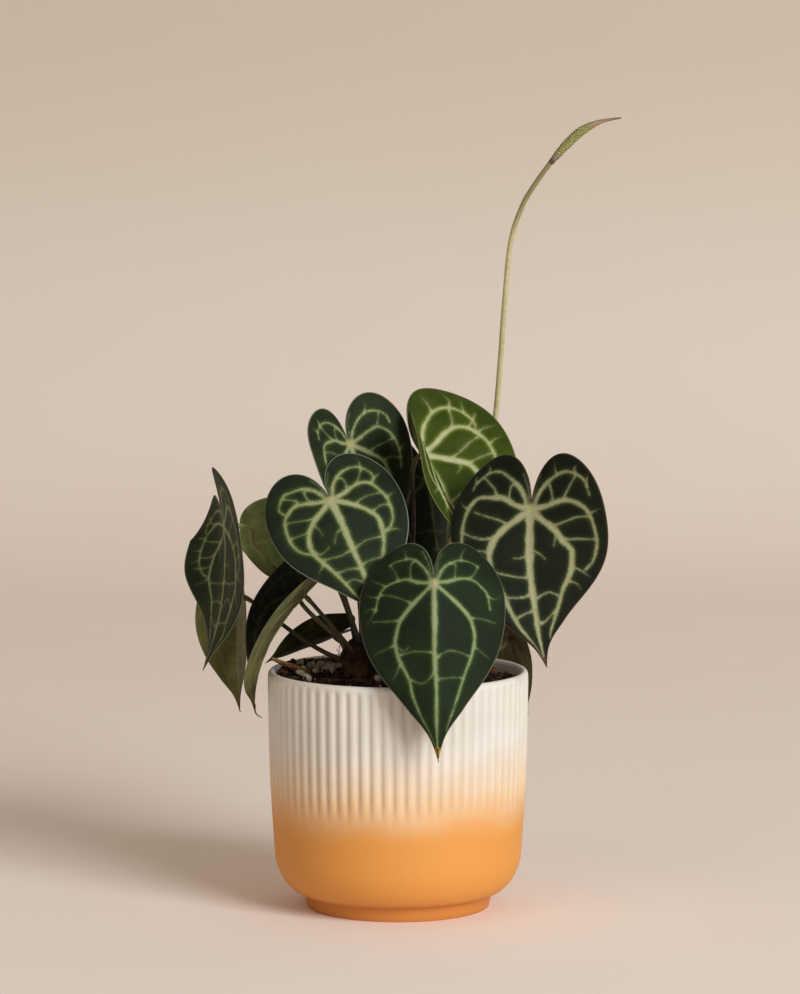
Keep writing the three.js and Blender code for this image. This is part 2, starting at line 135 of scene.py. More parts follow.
class Tree:
    def __init__(self, tree):
        self.tree = tree

    def node(self, kind, settings=None, inputs=None, out=0):
        node = self.tree.nodes.new(kind)
        for key, value in (settings or {}).items():
            setattr(node, key, value)
        for key, value in (inputs or {}).items():
            plug(self.tree, node.inputs[key], value)
        return Wire(self.tree, node.outputs[out])

    def attribute(self, name):
        return self.node("ShaderNodeAttribute", {"attribute_name": name}, out=2)

    def place(self):
        return self.node("ShaderNodeTexCoord", out=3)

    def noise(self, size_mm, detail=2.0, rough=0.5, stretch=(1, 1, 1)):
        """Noise from 0 to 1 whose lumps are about size_mm across, on Object coordinates."""
        scale = [v / (size_mm * MM) for v in stretch]
        vector = self.node(
            "ShaderNodeVectorMath", {"operation": "MULTIPLY"}, {0: self.place(), 1: scale}
        )
        inputs = {"Vector": vector, "Scale": 1.0, "Detail": detail, "Roughness": rough}
        return self.node("ShaderNodeTexNoise", None, inputs)

    def step(self, value, low, high):
        """0 below low, 1 above high, smooth between. low may be the larger one."""
        rising = low < high
        inputs = {"Value": value, "From Min": min(low, high), "From Max": max(low, high)}
        inputs["To Min"] = 0.0 if rising else 1.0
        inputs["To Max"] = 1.0 if rising else 0.0
        return self.node("ShaderNodeMapRange", {"interpolation_type": "SMOOTHSTEP"}, inputs)

    def blend(self, first, second, amount):
        return self.node(
            "ShaderNodeMix", {"data_type": "RGBA"}, {0: amount, 6: first, 7: second}, out=2
        )

    def specks(self, colour, tint, size_mm, detail, low, high, amount):
        """Small spots of another colour, where fine noise runs high."""
        return self.blend(colour, tint, self.step(self.noise(size_mm, detail), low, high) * amount)

    def split(self, vector):
        """The x, y and z of a vector."""
        node = self.node("ShaderNodeSeparateXYZ", None, {0: vector}).socket.node
        return [Wire(self.tree, out) for out in node.outputs]

    def where_mm(self):
        """How far right, back and up a place on the piece lies, in millimetres."""
        return [axis * 1000.0 for axis in self.split(self.place())]


def finish(name, draw, **fixed):
    """A material. draw gets the tree and returns what varies, by the shader's socket names."""
    material = bpy.data.materials.new(name)
    material.use_nodes = True
    tree = material.node_tree
    shader = tree.nodes["Principled BSDF"]
    for key, value in fixed.items():
        shader.inputs[key.replace("_", " ")].default_value = value
    for key, value in draw(Tree(tree)).items():
        if key == "Bump":
            height, depth_mm = value
            bump = tree.nodes.new("ShaderNodeBump")
            bump.inputs["Strength"].default_value = 1.0
            bump.inputs["Distance"].default_value = depth_mm * MM
            plug(tree, bump.inputs["Height"], height)
            tree.links.new(bump.outputs[0], shader.inputs["Normal"])
        else:
            plug(tree, shader.inputs[key], value)
    return material


# %% Meshes, objects and their place on the part
def mesh_of(name, points, edges=(), faces=()):
    """A mesh from points in millimetres."""
    mesh = bpy.data.meshes.new(name)
    mesh.from_pydata([tuple(p) for p in np.asarray(points) * MM], edges, [tuple(f) for f in faces])
    mesh.update()
    return mesh


def mark(mesh, label, values):
    """Gives a mesh a number at each of its points, for a finish or a tree to read."""
    layer = mesh.attributes.new(label, "FLOAT", "POINT")
    layer.data.foreach_set("value", np.asarray(values, dtype=np.float32))


def put(name, data):
    """A new object in the scene, at the origin."""
    made = bpy.data.objects.new(name, data)
    bpy.context.collection.objects.link(made)
    return made


def solid_piece(name, points, faces, material, marks=None):
    """A smooth mesh object at the origin, from points in millimetres."""
    mesh = mesh_of(name, points, (), faces)
    for label, values in (marks or {}).items():
        mark(mesh, label, values)
    mesh.polygons.foreach_set("use_smooth", [True] * len(mesh.polygons))
    mesh.materials.append(material)
    return put(name, mesh)


def tube_faces(rows, columns, capped=True):
    """Faces between rings of points, ring after ring, and a flat cap on both ends."""
    faces = []
    for row in range(rows - 1):
        for i in range(columns):
            a, b = row * columns + i, row * columns + (i + 1) % columns
            faces.append((a, b, b + columns, a + columns))
    if capped:
        faces.append(tuple(reversed(range(columns))))
        faces.append(tuple(range((rows - 1) * columns, rows * columns)))
    return faces


def turns(columns, start_deg=0.0):
    """Angles that divide a full turn into equal parts."""
    return math.radians(start_deg) + np.arange(columns) * 2 * math.pi / columns


def circle(radius, height, columns, start_deg=0.0):
    """Points round the z axis, in millimetres."""
    angles = turns(columns, start_deg)
    return [(radius * math.cos(a), radius * math.sin(a), height) for a in angles]


def frames(line, away):
    """At each point of a line, a direction across it and away, and one square to both."""
    ahead = np.gradient(line, axis=0)
    ahead /= np.linalg.norm(ahead, axis=1, keepdims=True)
    side = np.cross(ahead, away)
    side /= np.linalg.norm(side, axis=1, keepdims=True)
    return side, np.cross(side, ahead)


def length_along(points):
    """How far along a line each of its points lies."""
    return np.concatenate([[0], np.cumsum(np.linalg.norm(np.diff(points, axis=0), axis=1))])


def settle(piece, slot, *nodes):
    """Puts a finished piece on the part in place of its plain solids."""
    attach(piece, "root")
    if nodes:
        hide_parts(*nodes)
    print(f"{piece.name}: {sum(len(p.vertices) - 2 for p in piece.data.polygons)} triangles")


# %% [markdown]
# ## The leaves
# Each blade is a heart drawn in polar form about the hub, where the stalk meets it. The flat
# heart is then bent: along the midrib, across it, and by a twist on the way to the tip. Every
# blade has its own bends, so no two look alike. The numbers are those of the plain solids. They
# were found by fitting each bent heart to its outline in the photograph, and then rounded.

# %% The leaves and their bends
LEAVES = {
    "front": dict(
        hub=(18.6, -72, 184), heading=-89, drop=62, roll=-1, length=94.5, arch=34, back=-87,
        fold=(-22, -21), curl=(-41, -33), twist=4, sway=-0.03, width=0.93, lobes=(1, 1),
    ),
    "right": dict(
        hub=(69.8, -38, 219), heading=-108, drop=77, roll=-14, length=85.6, arch=26, back=-6,
        fold=(-4, 14), curl=(-25, -16), twist=55, sway=-0.12, width=0.98, lobes=(1, 1.03),
    ),
    "left": dict(
        hub=(-35.7, -28, 222.7), heading=-55, drop=46, roll=-21, length=73.6, arch=39, back=0,
        fold=(1, -11), curl=(-17, -25), twist=-1, sway=-0.07, width=1.02, lobes=(1.03, 0.98),
    ),
    "upper_left": dict(
        hub=(-26.2, 12, 249), heading=-34, drop=68, roll=-10, length=71.7, arch=19, back=13,
        fold=(19, 11), curl=(-17, -14), twist=11, sway=0, width=1.03, lobes=(1.05, 0.87),
    ),
    "young": dict(
        hub=(12.4, 12, 243.3), heading=-35, drop=54, roll=36, length=80.3, arch=2, back=-12,
        fold=(64, 14), curl=(0, -59), twist=-35, sway=0, width=1.1, lobes=(1.35, 0.7),
    ),
    "far_left": dict(
        hub=(-93, -10, 207.7), heading=111, drop=108, roll=32, length=80.1, arch=-33, back=90,
        fold=(-50, 38), curl=(8, 103), twist=20, sway=-0.06, width=1.15, lobes=(0.81, 0.92),
    ),
    "low_left": dict(
        hub=(-89, 33, 164.9), heading=147, drop=91, roll=4, length=64.6, arch=3, back=10,
        fold=(11, 24), curl=(-4, -7), twist=-12, sway=0.02, width=0.95, lobes=(1, 1),
    ),
    "behind_left": dict(
        hub=(-57.6, 34, 199.5), heading=146, drop=23, roll=-62, length=49.8, arch=-30, back=0,
        fold=(-1, -27), curl=(-19, -19), twist=-1, sway=0, width=1, lobes=(0.96, 1.02),
    ),
    "folded": dict(
        hub=(-50.1, -10, 169.2), heading=185, drop=45, roll=37, length=78.3, arch=60, back=-2,
        fold=(57, -5), curl=(-14, -17), twist=2, sway=0.03, width=0.92, lobes=(1, 1),
    ),
    "small": dict(
        hub=(-35.3, 24, 144.1), heading=185, drop=15, roll=-29, length=40.9, arch=17, back=0,
        fold=(21, 16), curl=(-19, -8), twist=-10, sway=0, width=0.9, lobes=(1, 1),
    ),
    "back_right": dict(
        hub=(60.9, 43, 140.9), heading=31, drop=75, roll=-1, length=47, arch=0, back=5,
        fold=(2, -2), curl=(-12, -15), twist=1, sway=0.02, width=0.93, lobes=(1, 1),
    ),
    "shaded": dict(
        hub=(15.7, 44, 227.2), heading=-43, drop=76, roll=-4, length=74, arch=10, back=-20,
        fold=(-19, -8), curl=(-22, -22), twist=1, sway=0, width=0.92, lobes=(1, 1),
    ),
}
EDGE_WAVE = 0.006  # height of the waves of the margin, as a share of the blade's length
TIP_DRAWN = 0.38  # how much narrower the tip is than the plain heart's
TIP_START, TIP_SPAN = 0.72, 0.2  # where the narrowing starts and how long it takes, as shares
BLADE_HALF = 0.25  # half the thickness of a blade, in millimetres


# %% From the flat heart to the bent blade
def outline(angle):
    """How far the margin lies from the hub, as a share of the length: oval, tip and notch."""
    deg = np.degrees(np.abs(angle))
    oval = 0.608 + 0.067 * np.cos(2 * angle)
    tip = 0.328 * np.exp(-deg / 10)
    sinus = 1 - 0.93 * np.exp(-(180 - deg) / 36)
    return (oval + tip) * sinus


def reach(leaf, angle):
    """How far the margin lies from the hub, in millimetres, at an angle from the tip."""
    lobe = np.where(angle >= 0, leaf["lobes"][1], leaf["lobes"][0])
    return outline(angle) * leaf["length"] * (1 + (lobe - 1) * (1 - np.cos(angle)) / 2)


def flat(leaf, degrees, share):
    """A point of the flat heart, in millimetres: across and along the midrib."""
    angle = np.radians(np.asarray(degrees, float))
    r = reach(leaf, angle) * np.asarray(share, float)
    return np.stack([r * np.sin(angle) * leaf["width"], r * np.cos(angle)], -1)


def polar(leaf, points):
    """The angle of each point of the flat heart, and its share of the way to the margin."""
    u, v = points[:, 0] / leaf["width"], points[:, 1]
    angle = np.arctan2(u, v)
    return angle, np.hypot(u, v) / reach(leaf, angle)


def arc(length, slope, turn):
    """How far an arc runs forward and rises, from its length, first slope and turn per mm."""
    turn = np.where(np.abs(turn) < 1e-7, 1e-7, turn)
    end = slope + turn * length
    return (np.sin(end) - np.sin(slope)) / turn, (np.cos(slope) - np.cos(end)) / turn


def blade_axes(leaf):
    """The blade's directions: across it, along its midrib and out of its upper face."""
    h, d, r = (math.radians(leaf[key]) for key in ("heading", "drop", "roll"))
    along = np.array([math.cos(h) * math.cos(d), math.sin(h) * math.cos(d), -math.sin(d)])
    level = np.array([math.sin(h), -math.cos(h), 0])
    upright = np.cross(level, along)
    across = level * math.cos(r) + upright * math.sin(r)
    return across, along, upright * math.cos(r) - level * math.sin(r)


def bend(leaf, points):
    """Carries points of the flat heart onto the bent blade, in millimetres."""
    size = leaf["length"]
    u, v = points[:, 0], points[:, 1]
    angle, share = polar(leaf, points)
    right = u >= 0
    slope = np.where(v >= 0, -math.radians(leaf["arch"]), math.radians(leaf["back"])) / size
    forward, up = arc(v, 0, slope)
    fold = np.radians(np.where(right, leaf["fold"][1], leaf["fold"][0]))
    curl = np.radians(np.where(right, leaf["curl"][1], leaf["curl"][0])) / size
    drawn = np.clip((v / size - TIP_START) / TIP_SPAN, 0, 1)
    u = u * (1 - TIP_DRAWN * drawn**2 * (3 - 2 * drawn))
    out, rise = arc(np.abs(u), fold, curl)
    out = out * np.sign(u)
    turn = math.radians(leaf["twist"]) * v / size
    wave = EDGE_WAVE * size * share**3 * np.sin(6 * angle + math.radians(leaf["heading"]))
    x = out * np.cos(turn) - rise * np.sin(turn) + leaf["sway"] * v * v / (2 * size)
    h = out * np.sin(turn) + rise * np.cos(turn) + wave
    tilt = slope * v
    across, along, upper = blade_axes(leaf)
    y = forward - h * np.sin(tilt)
    w = up + h * np.cos(tilt)
    axes = np.array([across, along, upper])
    return np.array(leaf["hub"]) + np.stack([x, y, w], -1) @ axes


tip = bend(LEAVES["front"], np.array([[0, LEAVES["front"]["length"]]]))
print("front leaf: hub at", LEAVES["front"]["hub"], "and tip at", np.round(tip[0], 1))


# %% [markdown]
# ## The veins
# The veins make this species. A broad midrib runs to the tip, and pairs of arching veins leave
# the hub: an inner pair that closes again near the tip, an outer pair that runs beside the
# margin and joins the inner one, and a pair in each lobe that joins the outer one. Cross veins
# divide the fields between them, and outside the last of them the green is nearly bare. The net
# is drawn once, as angles from the tip and shares of the way to the margin, and each leaf
# shifts it a little.

# %% The net of veins
MAIN_VEINS = {
    "inner": [
        (40, 0.03), (52, 0.18), (54, 0.35), (50, 0.50), (44, 0.61), (37, 0.68), (29, 0.74),
        (20, 0.79), (13, 0.86), (8, 0.92), (4, 0.97),
    ],
    "outer": [
        (85, 0.03), (100, 0.20), (106, 0.38), (103, 0.54), (95, 0.65), (85, 0.72), (74, 0.76),
        (63, 0.785), (53, 0.79), (44, 0.765), (36, 0.71),
    ],
    "lobe": [
        (130, 0.05), (147, 0.18), (147, 0.36), (141, 0.53), (133, 0.65), (123, 0.74),
        (112, 0.775), (102, 0.76), (94, 0.68),
    ],
    "sinus": [(165, 0.20), (168, 0.42), (168, 0.62), (163, 0.80)],
}
VEIN_WIDTHS = {  # at the hub, halfway and at the end, for a blade 90 mm long
    "midrib": (4.2, 2.5, 1.0), "inner": (3.0, 2.0, 0.6), "outer": (2.6, 1.3, 0.7),
    "lobe": (2.3, 1.0, 0.4), "sinus": (0.9, 0.4, 0.15),
}
CROSS_VEINS = [  # from a main vein outwards, the first point is moved onto that vein
    [(3, 0.46), (15, 0.56), (31, 0.73)], [(3, 0.60), (10, 0.70), (18, 0.80)],
    [(2, 0.72), (6, 0.79), (10, 0.85)],
    [(54, 0.31), (68, 0.40), (80, 0.58), (84, 0.72)], [(50, 0.50), (59, 0.64), (67, 0.83)],
    [(43, 0.61), (50, 0.74), (56, 0.88)], [(36, 0.69), (40, 0.80), (43, 0.93)],
    [(27, 0.75), (29, 0.85), (30, 0.96)],
    [(104, 0.48), (113, 0.57), (122, 0.78)], [(96, 0.62), (100, 0.74), (104, 0.89)],
    [(86, 0.71), (88, 0.83), (91, 0.96)], [(75, 0.78), (76, 0.87), (78, 0.97)],
    [(62, 0.78), (63, 0.88), (64, 0.97)], [(142, 0.45), (129, 0.42), (110, 0.30)],
    [(137, 0.60), (142, 0.73), (147, 0.91)], [(122, 0.74), (126, 0.85), (130, 0.97)],
    [(110, 0.77), (113, 0.87), (116, 0.97)],
    [(3, 0.30), (12, 0.36), (18, 0.47)], [(53, 0.37), (42, 0.42), (33, 0.44)],
    [(37, 0.67), (30, 0.65), (24, 0.58)],
]
SPURS = 3  # the last of them are short and end in the middle of a field
STUB_FROM = 0.86  # one that ends past this share of the way out runs into the margin


def smooth_line(points, gap=0.5):
    """A smooth line through points, as many new points as give about this gap in millimetres."""
    points = np.asarray(points, float)
    lined = []
    for i in range(len(points) - 1):
        before = points[max(0, i - 1)]
        start, end = points[i], points[i + 1]
        after = points[min(len(points) - 1, i + 2)]
        count = max(2, int(np.linalg.norm(end - start) / gap))
        t = np.linspace(0, 1, count, endpoint=False)[:, None]
        lined.append(
            0.5 * (
                2 * start + (end - before) * t
                + (2 * before - 5 * start + 4 * end - after) * t**2
                + (3 * start - before - 3 * end + after) * t**3
            )
        )
    return np.concatenate([*lined, points[-1:]])


def snap(point, line, within):
    """The nearest point of a line, where one lies within that distance."""
    gaps = np.linalg.norm(line - point, axis=1)
    return line[gaps.argmin()] if gaps.min() < within else point


def vein_net(leaf, seed, broad, ring=1.0, push=1.0):
    """Points along the veins with their half-widths: the main ones and the cross veins.
    ring is how much of the outer and lobe veins there is, push moves them to the margin."""
    draw = np.random.RandomState(seed)
    scale = leaf["length"] / 90
    main, cross = [], []

    def add_main(name, points):
        line = smooth_line(points)
        t = np.linspace(0, 1, len(line))
        pulse = 1 + 0.10 * np.sin(t * 23 + seed) + 0.08 * np.sin(t * 57 + 2 * seed)
        width = np.interp(t, [0, 0.5, 1], VEIN_WIDTHS[name]) * pulse
        main.append((line, width * scale * broad / 2))

    add_main("midrib", flat(leaf, [0, -0.6, 0.4, -0.3, 0.2, 0], [0, 0.2, 0.4, 0.6, 0.8, 0.985]))
    for side in (-1, 1):
        for name, line in MAIN_VEINS.items():
            shift = draw.normal(0, 1.6)
            if name in ("outer", "lobe"):
                line = line[: round(len(line) * ring)]
                line = [(a, s * (push if s > 0.6 else 1)) for a, s in line]
            spots = [(a + shift * min(1, a / 40) + draw.normal(0, 1.1), s) for a, s in line]
            add_main(name, [(0, 0)] + [tuple(flat(leaf, side * a, s)) for a, s in spots])
    trunk = np.concatenate([line for line, half in main])
    for side in (-1, 1):
        for k, line in enumerate(CROSS_VEINS):
            spur, stub = k >= len(CROSS_VEINS) - SPURS, line[-1][1] > STUB_FROM
            spots = [(a + draw.normal(0, 1.5), s + draw.normal(0, 0.015)) for a, s in line]
            points = [flat(leaf, side * a, min(s, 0.985)) for a, s in spots]
            root = snap(points[0], trunk, 7 * scale)
            if draw.rand() < (0.5 if spur or stub else 0.15) or root is points[0]:
                continue
            points[0] = root
            if not spur and not stub:
                points[-1] = snap(points[-1], trunk, 4 * scale)
            for i in range(1, len(points) - 1):
                points[i] = points[i] + draw.normal(0, 0.3 if spur else 0.7, 2)
            line = smooth_line(points)
            widths = [1.1, 0.5, 0.15] if spur or stub else [1.3, 0.75, 0.45]
            width = np.interp(np.linspace(0, 1, len(line)), [0, 0.25, 1], widths)
            cross.append((line, width * scale * (0.35 + 0.65 * broad) / 2))
    return [tuple(np.concatenate(part) for part in zip(*veins)) for veins in (main, cross)]


def gap_to(points, net, web=0.0):
    """How far each point lies outside the nearest vein's edge, below 0 inside it.
    Where veins meet, web (in millimetres) rounds the corners between them."""
    line, half = net
    gaps = np.empty(len(points))
    for start in range(0, len(points), 2000):
        part = points[start : start + 2000, None, :] - line[None, :, :]
        gap = np.sqrt((part**2).sum(-1)) - half
        nearest = gap.min(1)
        if web:
            crowd = np.exp((nearest[:, None] - gap) / web).sum(1)
            nearest = nearest - web * np.log(crowd / 3)
        gaps[start : start + 2000] = nearest
    return gaps


net = vein_net(LEAVES["front"], 1, 1.0)
print("front leaf:", len(net[0][0]), "points on main veins,", len(net[1][0]), "on cross veins")


# %% [markdown]
# ## The blade as a mesh
# A blade needs points where something happens: along its margin and along its veins. A flat
# triangulation of a loose grid plus those points gives a mesh whose edges follow the veins.
# It is bent into place, puffed up a little between the veins, and given a thin rounded edge.
# Every point keeps its distances to the veins, the margin and the hub, for the finish to read.

# %% The flat triangulation of one blade
BORDER = 0.9994  # the margin lies a hair inside that of the plain solid


def flat_mesh(leaf, net, gap):
    """Points and triangles of the flat heart, about gap millimetres apart."""
    angles = np.linspace(-math.pi, math.pi, 2001)[:-1] + math.pi / 2000
    border = flat(leaf, np.degrees(angles), BORDER)
    run = length_along(border)
    count = int(run[-1] / (gap * 0.8))
    border = border[np.searchsorted(run, np.linspace(0, run[-1], count, endpoint=False))]
    low, high = border.min(0), border.max(0)
    rows = np.arange(low[1], high[1], gap * 0.866)
    grid = np.array([
        (x, y) for i, y in enumerate(rows)
        for x in np.arange(low[0] + gap / 2 * (i % 2), high[0], gap)
    ])
    lines = np.concatenate([net[0][0], net[1][0]])
    step = max(1, round(gap * 0.8 / 0.5))
    lines = lines[::step]
    near = gap_to(grid, (lines, np.zeros(len(lines))))
    grid = grid[near > gap * 0.45]
    inner = np.concatenate([lines, grid])
    inner = inner[polar(leaf, inner)[1] < 0.97]
    clear = gap_to(inner, (border, np.zeros(len(border))))
    inner = inner[clear > gap * 0.45]
    every = [Vector(p) for p in np.concatenate([border, inner])]
    points, _, faces, *_ = delaunay_2d_cdt(every, [], [list(range(len(border)))], 1, 1e-5)
    points = np.array([tuple(p) for p in points])
    faces = np.array([tuple(f) for f in faces])
    a, b, c = points[faces[:, 0]], points[faces[:, 1]], points[faces[:, 2]]
    turned = (b[:, 0] - a[:, 0]) * (c[:, 1] - a[:, 1]) < (c[:, 0] - a[:, 0]) * (b[:, 1] - a[:, 1])
    faces[turned] = faces[turned][:, ::-1]
    return points, faces


def normals_of(points, faces):
    """At each point, the direction that its triangles face."""
    a, b, c = points[faces[:, 0]], points[faces[:, 1]], points[faces[:, 2]]
    weighted = np.cross(b - a, c - a)
    total = np.zeros_like(points)
    for corner in range(3):
        np.add.at(total, faces[:, corner], weighted)
    return total / np.linalg.norm(total, axis=1, keepdims=True)


def border_edges(faces):
    """The edges that only one triangle has."""
    sides = np.concatenate([faces[:, [0, 1]], faces[:, [1, 2]], faces[:, [2, 0]]])
    known = {(a, b) for a, b in sides.tolist()}
    return [(a, b) for a, b in known if (b, a) not in known]


# %% The thin bent body of one blade
PUFF = 0.35  # how far the green bulges between the veins, in millimetres
SINK = 0.16  # how deep the main veins lie in the upper face
MAIN_RIB, CROSS_RIB = 0.45, 0.15  # how far the veins stand out of the underside


def blade(name, leaf, seed, broad, gap, material, ring):
    """A leaf's upper and lower face with the rim between them."""
    net = vein_net(leaf, seed, broad, *ring)
    points, faces = flat_mesh(leaf, net, gap)
    main = gap_to(points, net[0], 0.45)
    every = gap_to(points, [np.concatenate(pair) for pair in zip(*net)], 0.35)
    rim = sorted({i for edge in border_edges(faces) for i in edge})
    margin = np.clip(gap_to(points, (points[rim], np.zeros(len(rim)))), 0, None)
    bent = bend(leaf, points)
    normals = normals_of(bent, faces)
    lift = PUFF * (1 - np.exp(-np.clip(every, 0, None) / 3.0)) * np.clip(margin / 3.0, 0, 1)
    sink = SINK * np.clip(-main / 0.8, 0, 1)
    half = BLADE_HALF * (0.35 + 0.65 * (1 - np.exp(-margin / 0.5)))
    raised = MAIN_RIB * np.clip(-main / 0.9, 0, 1) + CROSS_RIB * np.clip(-every / 0.3, 0, 1)
    raised *= np.clip(margin / 2.0, 0, 1)
    upper = bent + normals * (lift + half - sink)[:, None]
    lower = bent + normals * (lift - half - raised)[:, None]
    count = len(points)
    rim_faces = []
    for a, b in border_edges(faces):
        rim_faces.append((b, a, a + count))
        rim_faces.append((b, a + count, b + count))
    all_faces = np.concatenate([faces, faces[:, ::-1] + count, np.array(rim_faces)])
    values = {
        "main": np.tile(main, 2), "vein": np.tile(every, 2), "margin": np.tile(margin, 2),
        "hub": np.tile(np.linalg.norm(points, axis=1), 2),
        "along": np.tile(points[:, 1] / leaf["length"], 2),
        "under": np.repeat([0.0, 1.0], count),
    }
    return solid_piece(name, np.concatenate([upper, lower]), all_faces, material, values)


# %% [markdown]
# ## The velvet finish
# The upper face is deep green and velvety: short hairs scatter light at a glance, which the
# shader's sheen gives. The veins are silvery green with a brighter, yellow-green seam along
# them, and their edges feather out into the green. The underside is plain and paler, with
# raised veins. Noise shifts each measured distance a little, so that no edge is ruled.

# %% The finish of a blade
def leaf_finish(name, green, pale, seam, under, tip=None, sheen=0.07, rim="#6f735c", thin=0.7):
    """green: deep, lit and fleck. pale: vein and its core. under: ground, patch and vein."""

    def draw(t):
        vein, main = t.attribute("vein"), t.attribute("main")
        margin, below = t.attribute("margin"), t.attribute("under")
        fray = t.noise(0.8, 4.0, 0.75) - 0.5
        broad = t.noise(7, 2.0) - 0.5
        fine = t.noise(0.35, 2.0, 0.6)
        edge = vein + fray * 2.3 + broad * 0.7
        strong = t.step(main + broad, 3.6, 0.2)
        fade = 0.3 + t.step(margin + broad * 2.0, 0.6, 4.0) * 0.7
        faint = (0.12 + t.step(margin + broad * 4.0, 2.0, 9.5) * 0.88) * thin
        on_vein = t.step(edge, 0.75, -0.45) * (faint + strong * (1 - faint)) * fade
        glow = t.step(edge, 2.4, -0.1) * (faint * 0.5 + strong * 0.45) * fade
        cloud = t.noise(16, 3.0)
        deep = t.blend(green[0], green[1], t.step(cloud, 0.35, 0.7))
        deep = t.blend(deep, green[2], t.step(fine, 0.4, 0.8) * 0.4)
        face = t.blend(deep, seam, glow)
        silver = t.blend(pale[0], pale[1], t.step(main, -0.2, -1.2))
        silver = t.blend(silver, seam, t.step(t.noise(1.6, 3.0, 0.7), 0.5, 0.8) * 0.35)
        face = t.blend(face, silver, on_vein)
        spot = t.step(t.attribute("hub") + fray * 1.2, 3.4, 0.8) * 0.5
        face = t.blend(face, "#ab9f5e", spot)
        face = t.blend(face, rim, t.step(margin, 0.75, 0.25) * 0.85)
        back = t.blend(under[0], under[1], t.step(t.noise(11, 3.0), 0.3, 0.7))
        back = t.blend(back, under[2], on_vein * 0.6)
        back = t.blend(back, under[1], t.step(fine, 0.4, 0.8) * 0.3)
        colour = t.blend(face, back, below)
        if tip:
            along = t.attribute("along") + fray * 0.015
            colour = t.blend(colour, tip[0], t.step(along, 0.91, 0.95))
            colour = t.blend(colour, tip[1], t.step(along, 0.972, 0.985))
        rough = 0.64 - on_vein * 0.10 + fine * 0.12 - below * 0.08
        return {"Base Color": colour, "Roughness": rough, "Bump": (fine * 0.6 + fray * 0.5, 0.10)}

    return finish(
        name, draw, Sheen_Weight=sheen, Sheen_Roughness=0.4,
        Sheen_Tint=(0.85, 0.86, 0.64, 1.0), Specular_IOR_Level=0.12,
    )


OLIVE_UNDER = ("#4a4a28", "#3a3a20", "#6d6c44")
DRESS = {  # seed, breadth of the veins, grid gap in millimetres, and the finish
    "front": (3, 0.62, 0.85, dict(
        green=("#161e10", "#1c2713", "#262f1f"), pale=("#7f885c", "#90967a"), seam="#334a1c",
        under=OLIVE_UNDER, tip=("#b08c1c", "#4a2a14"), thin=0.42)),
    "right": (8, 1.18, 0.85, dict(
        green=("#10140b", "#171c0e", "#26281c"), pale=("#8e8e67", "#9f9c78"), seam="#35401f",
        under=OLIVE_UNDER, tip=("#4a3a1e", "#3a2012"), rim="#54402e", thin=0.8)),
    "left": (5, 1.08, 0.85, dict(
        green=("#171d12", "#1e2616", "#2c3125"), pale=("#8b8e62", "#9a9a76"), seam="#44561f",
        under=OLIVE_UNDER, sheen=0.14, rim="#8b907c", thin=0.5)),
    "upper_left": (12, 0.85, 1.05, dict(
        green=("#181f0f", "#212b14", "#2f3622"), pale=("#8c8f62", "#9e9c73"), seam="#3a4a1e",
        under=OLIVE_UNDER, thin=0.5)),
    "young": (21, 1.2, 0.95, dict(
        green=("#2d3a07", "#3b470b", "#475213"), pale=("#a5a575", "#b6b48a"), seam="#66722a",
        under=("#3c4520", "#30391a", "#8a8a5c"), rim="#6b7038", thin=0.6)),
    "far_left": (30, 0.7, 1.05, dict(
        green=("#202919", "#2a3320", "#363c2c"), pale=("#868d66", "#939676"), seam="#3d4a28",
        under=OLIVE_UNDER, tip=("#4a4228", "#3a2c1a"))),
    "low_left": (41, 0.6, 1.2, dict(
        green=("#1c2414", "#242c18", "#2e3420"), pale=("#5f6a42", "#6c7048"), seam="#35421f",
        under=("#6b6838", "#58562e", "#86835a"))),
    "behind_left": (47, 0.6, 1.2, dict(
        green=("#1c2414", "#242c18", "#2e3420"), pale=("#5f6a42", "#6c7048"), seam="#35421f",
        under=("#86935c", "#6c7c42", "#a0a672"))),
    # painted shade: the upper face of this folded leaf lies in shade, so its green and veins are
    # painted much darker
    "folded": (52, 0.6, 1.1, dict(
        green=("#0c0f07", "#12150b", "#1a1d11"), pale=("#2c3420", "#3a3e28"), seam="#1b2210",
        under=("#6a6838", "#504e26", "#94905e"))),
    # painted shade: this small leaf lies in shade under the left ones, so its faces and veins are
    # painted darker
    "small": (60, 0.6, 1.1, dict(
        green=("#12130a", "#1c1a0d", "#282316"), pale=("#3f3c26", "#4a452c"), seam="#26260f",
        under=("#3f3d1c", "#2c2a12", "#56522c"))),
    "back_right": (66, 0.7, 1.1, dict(
        green=("#1c2412", "#262e18", "#343820"), pale=("#6a7048", "#747450"), seam="#38461e",
        under=("#55532a", "#454318", "#6e6b40"))),
    # painted shade: this leaf lies in shade behind the others, so its green and its veins are painted
    # near black
    "shaded": (71, 0.7, 1.2, dict(
        green=("#0c1006", "#11160a", "#1a1e11"), pale=("#38431f", "#444c2a"), seam="#1a240d",
        under=OLIVE_UNDER)),
}
DARK = ("front", "right", "left", "upper_left", "far_left")
# How much of the outer and lobe veins a leaf has, and how far they are pushed to the margin.
RINGS = {"front": (0.62, 1.0), "right": (0.9, 1.11), "upper_left": (0.85, 1.0)}
for name, (seed, broad, gap, colours) in DRESS.items():
    material = leaf_finish("velvet_" + name, **colours)
    ring = RINGS.get(name, (1.0, 1.0))
    piece = blade("leaf_" + name, LEAVES[name], seed, broad, gap, material, ring)
    slot = "dark_blade" if name in DARK else "young_blade" if name == "young" else "shaded_blade"
    settle(piece, slot, "blade_" + name)
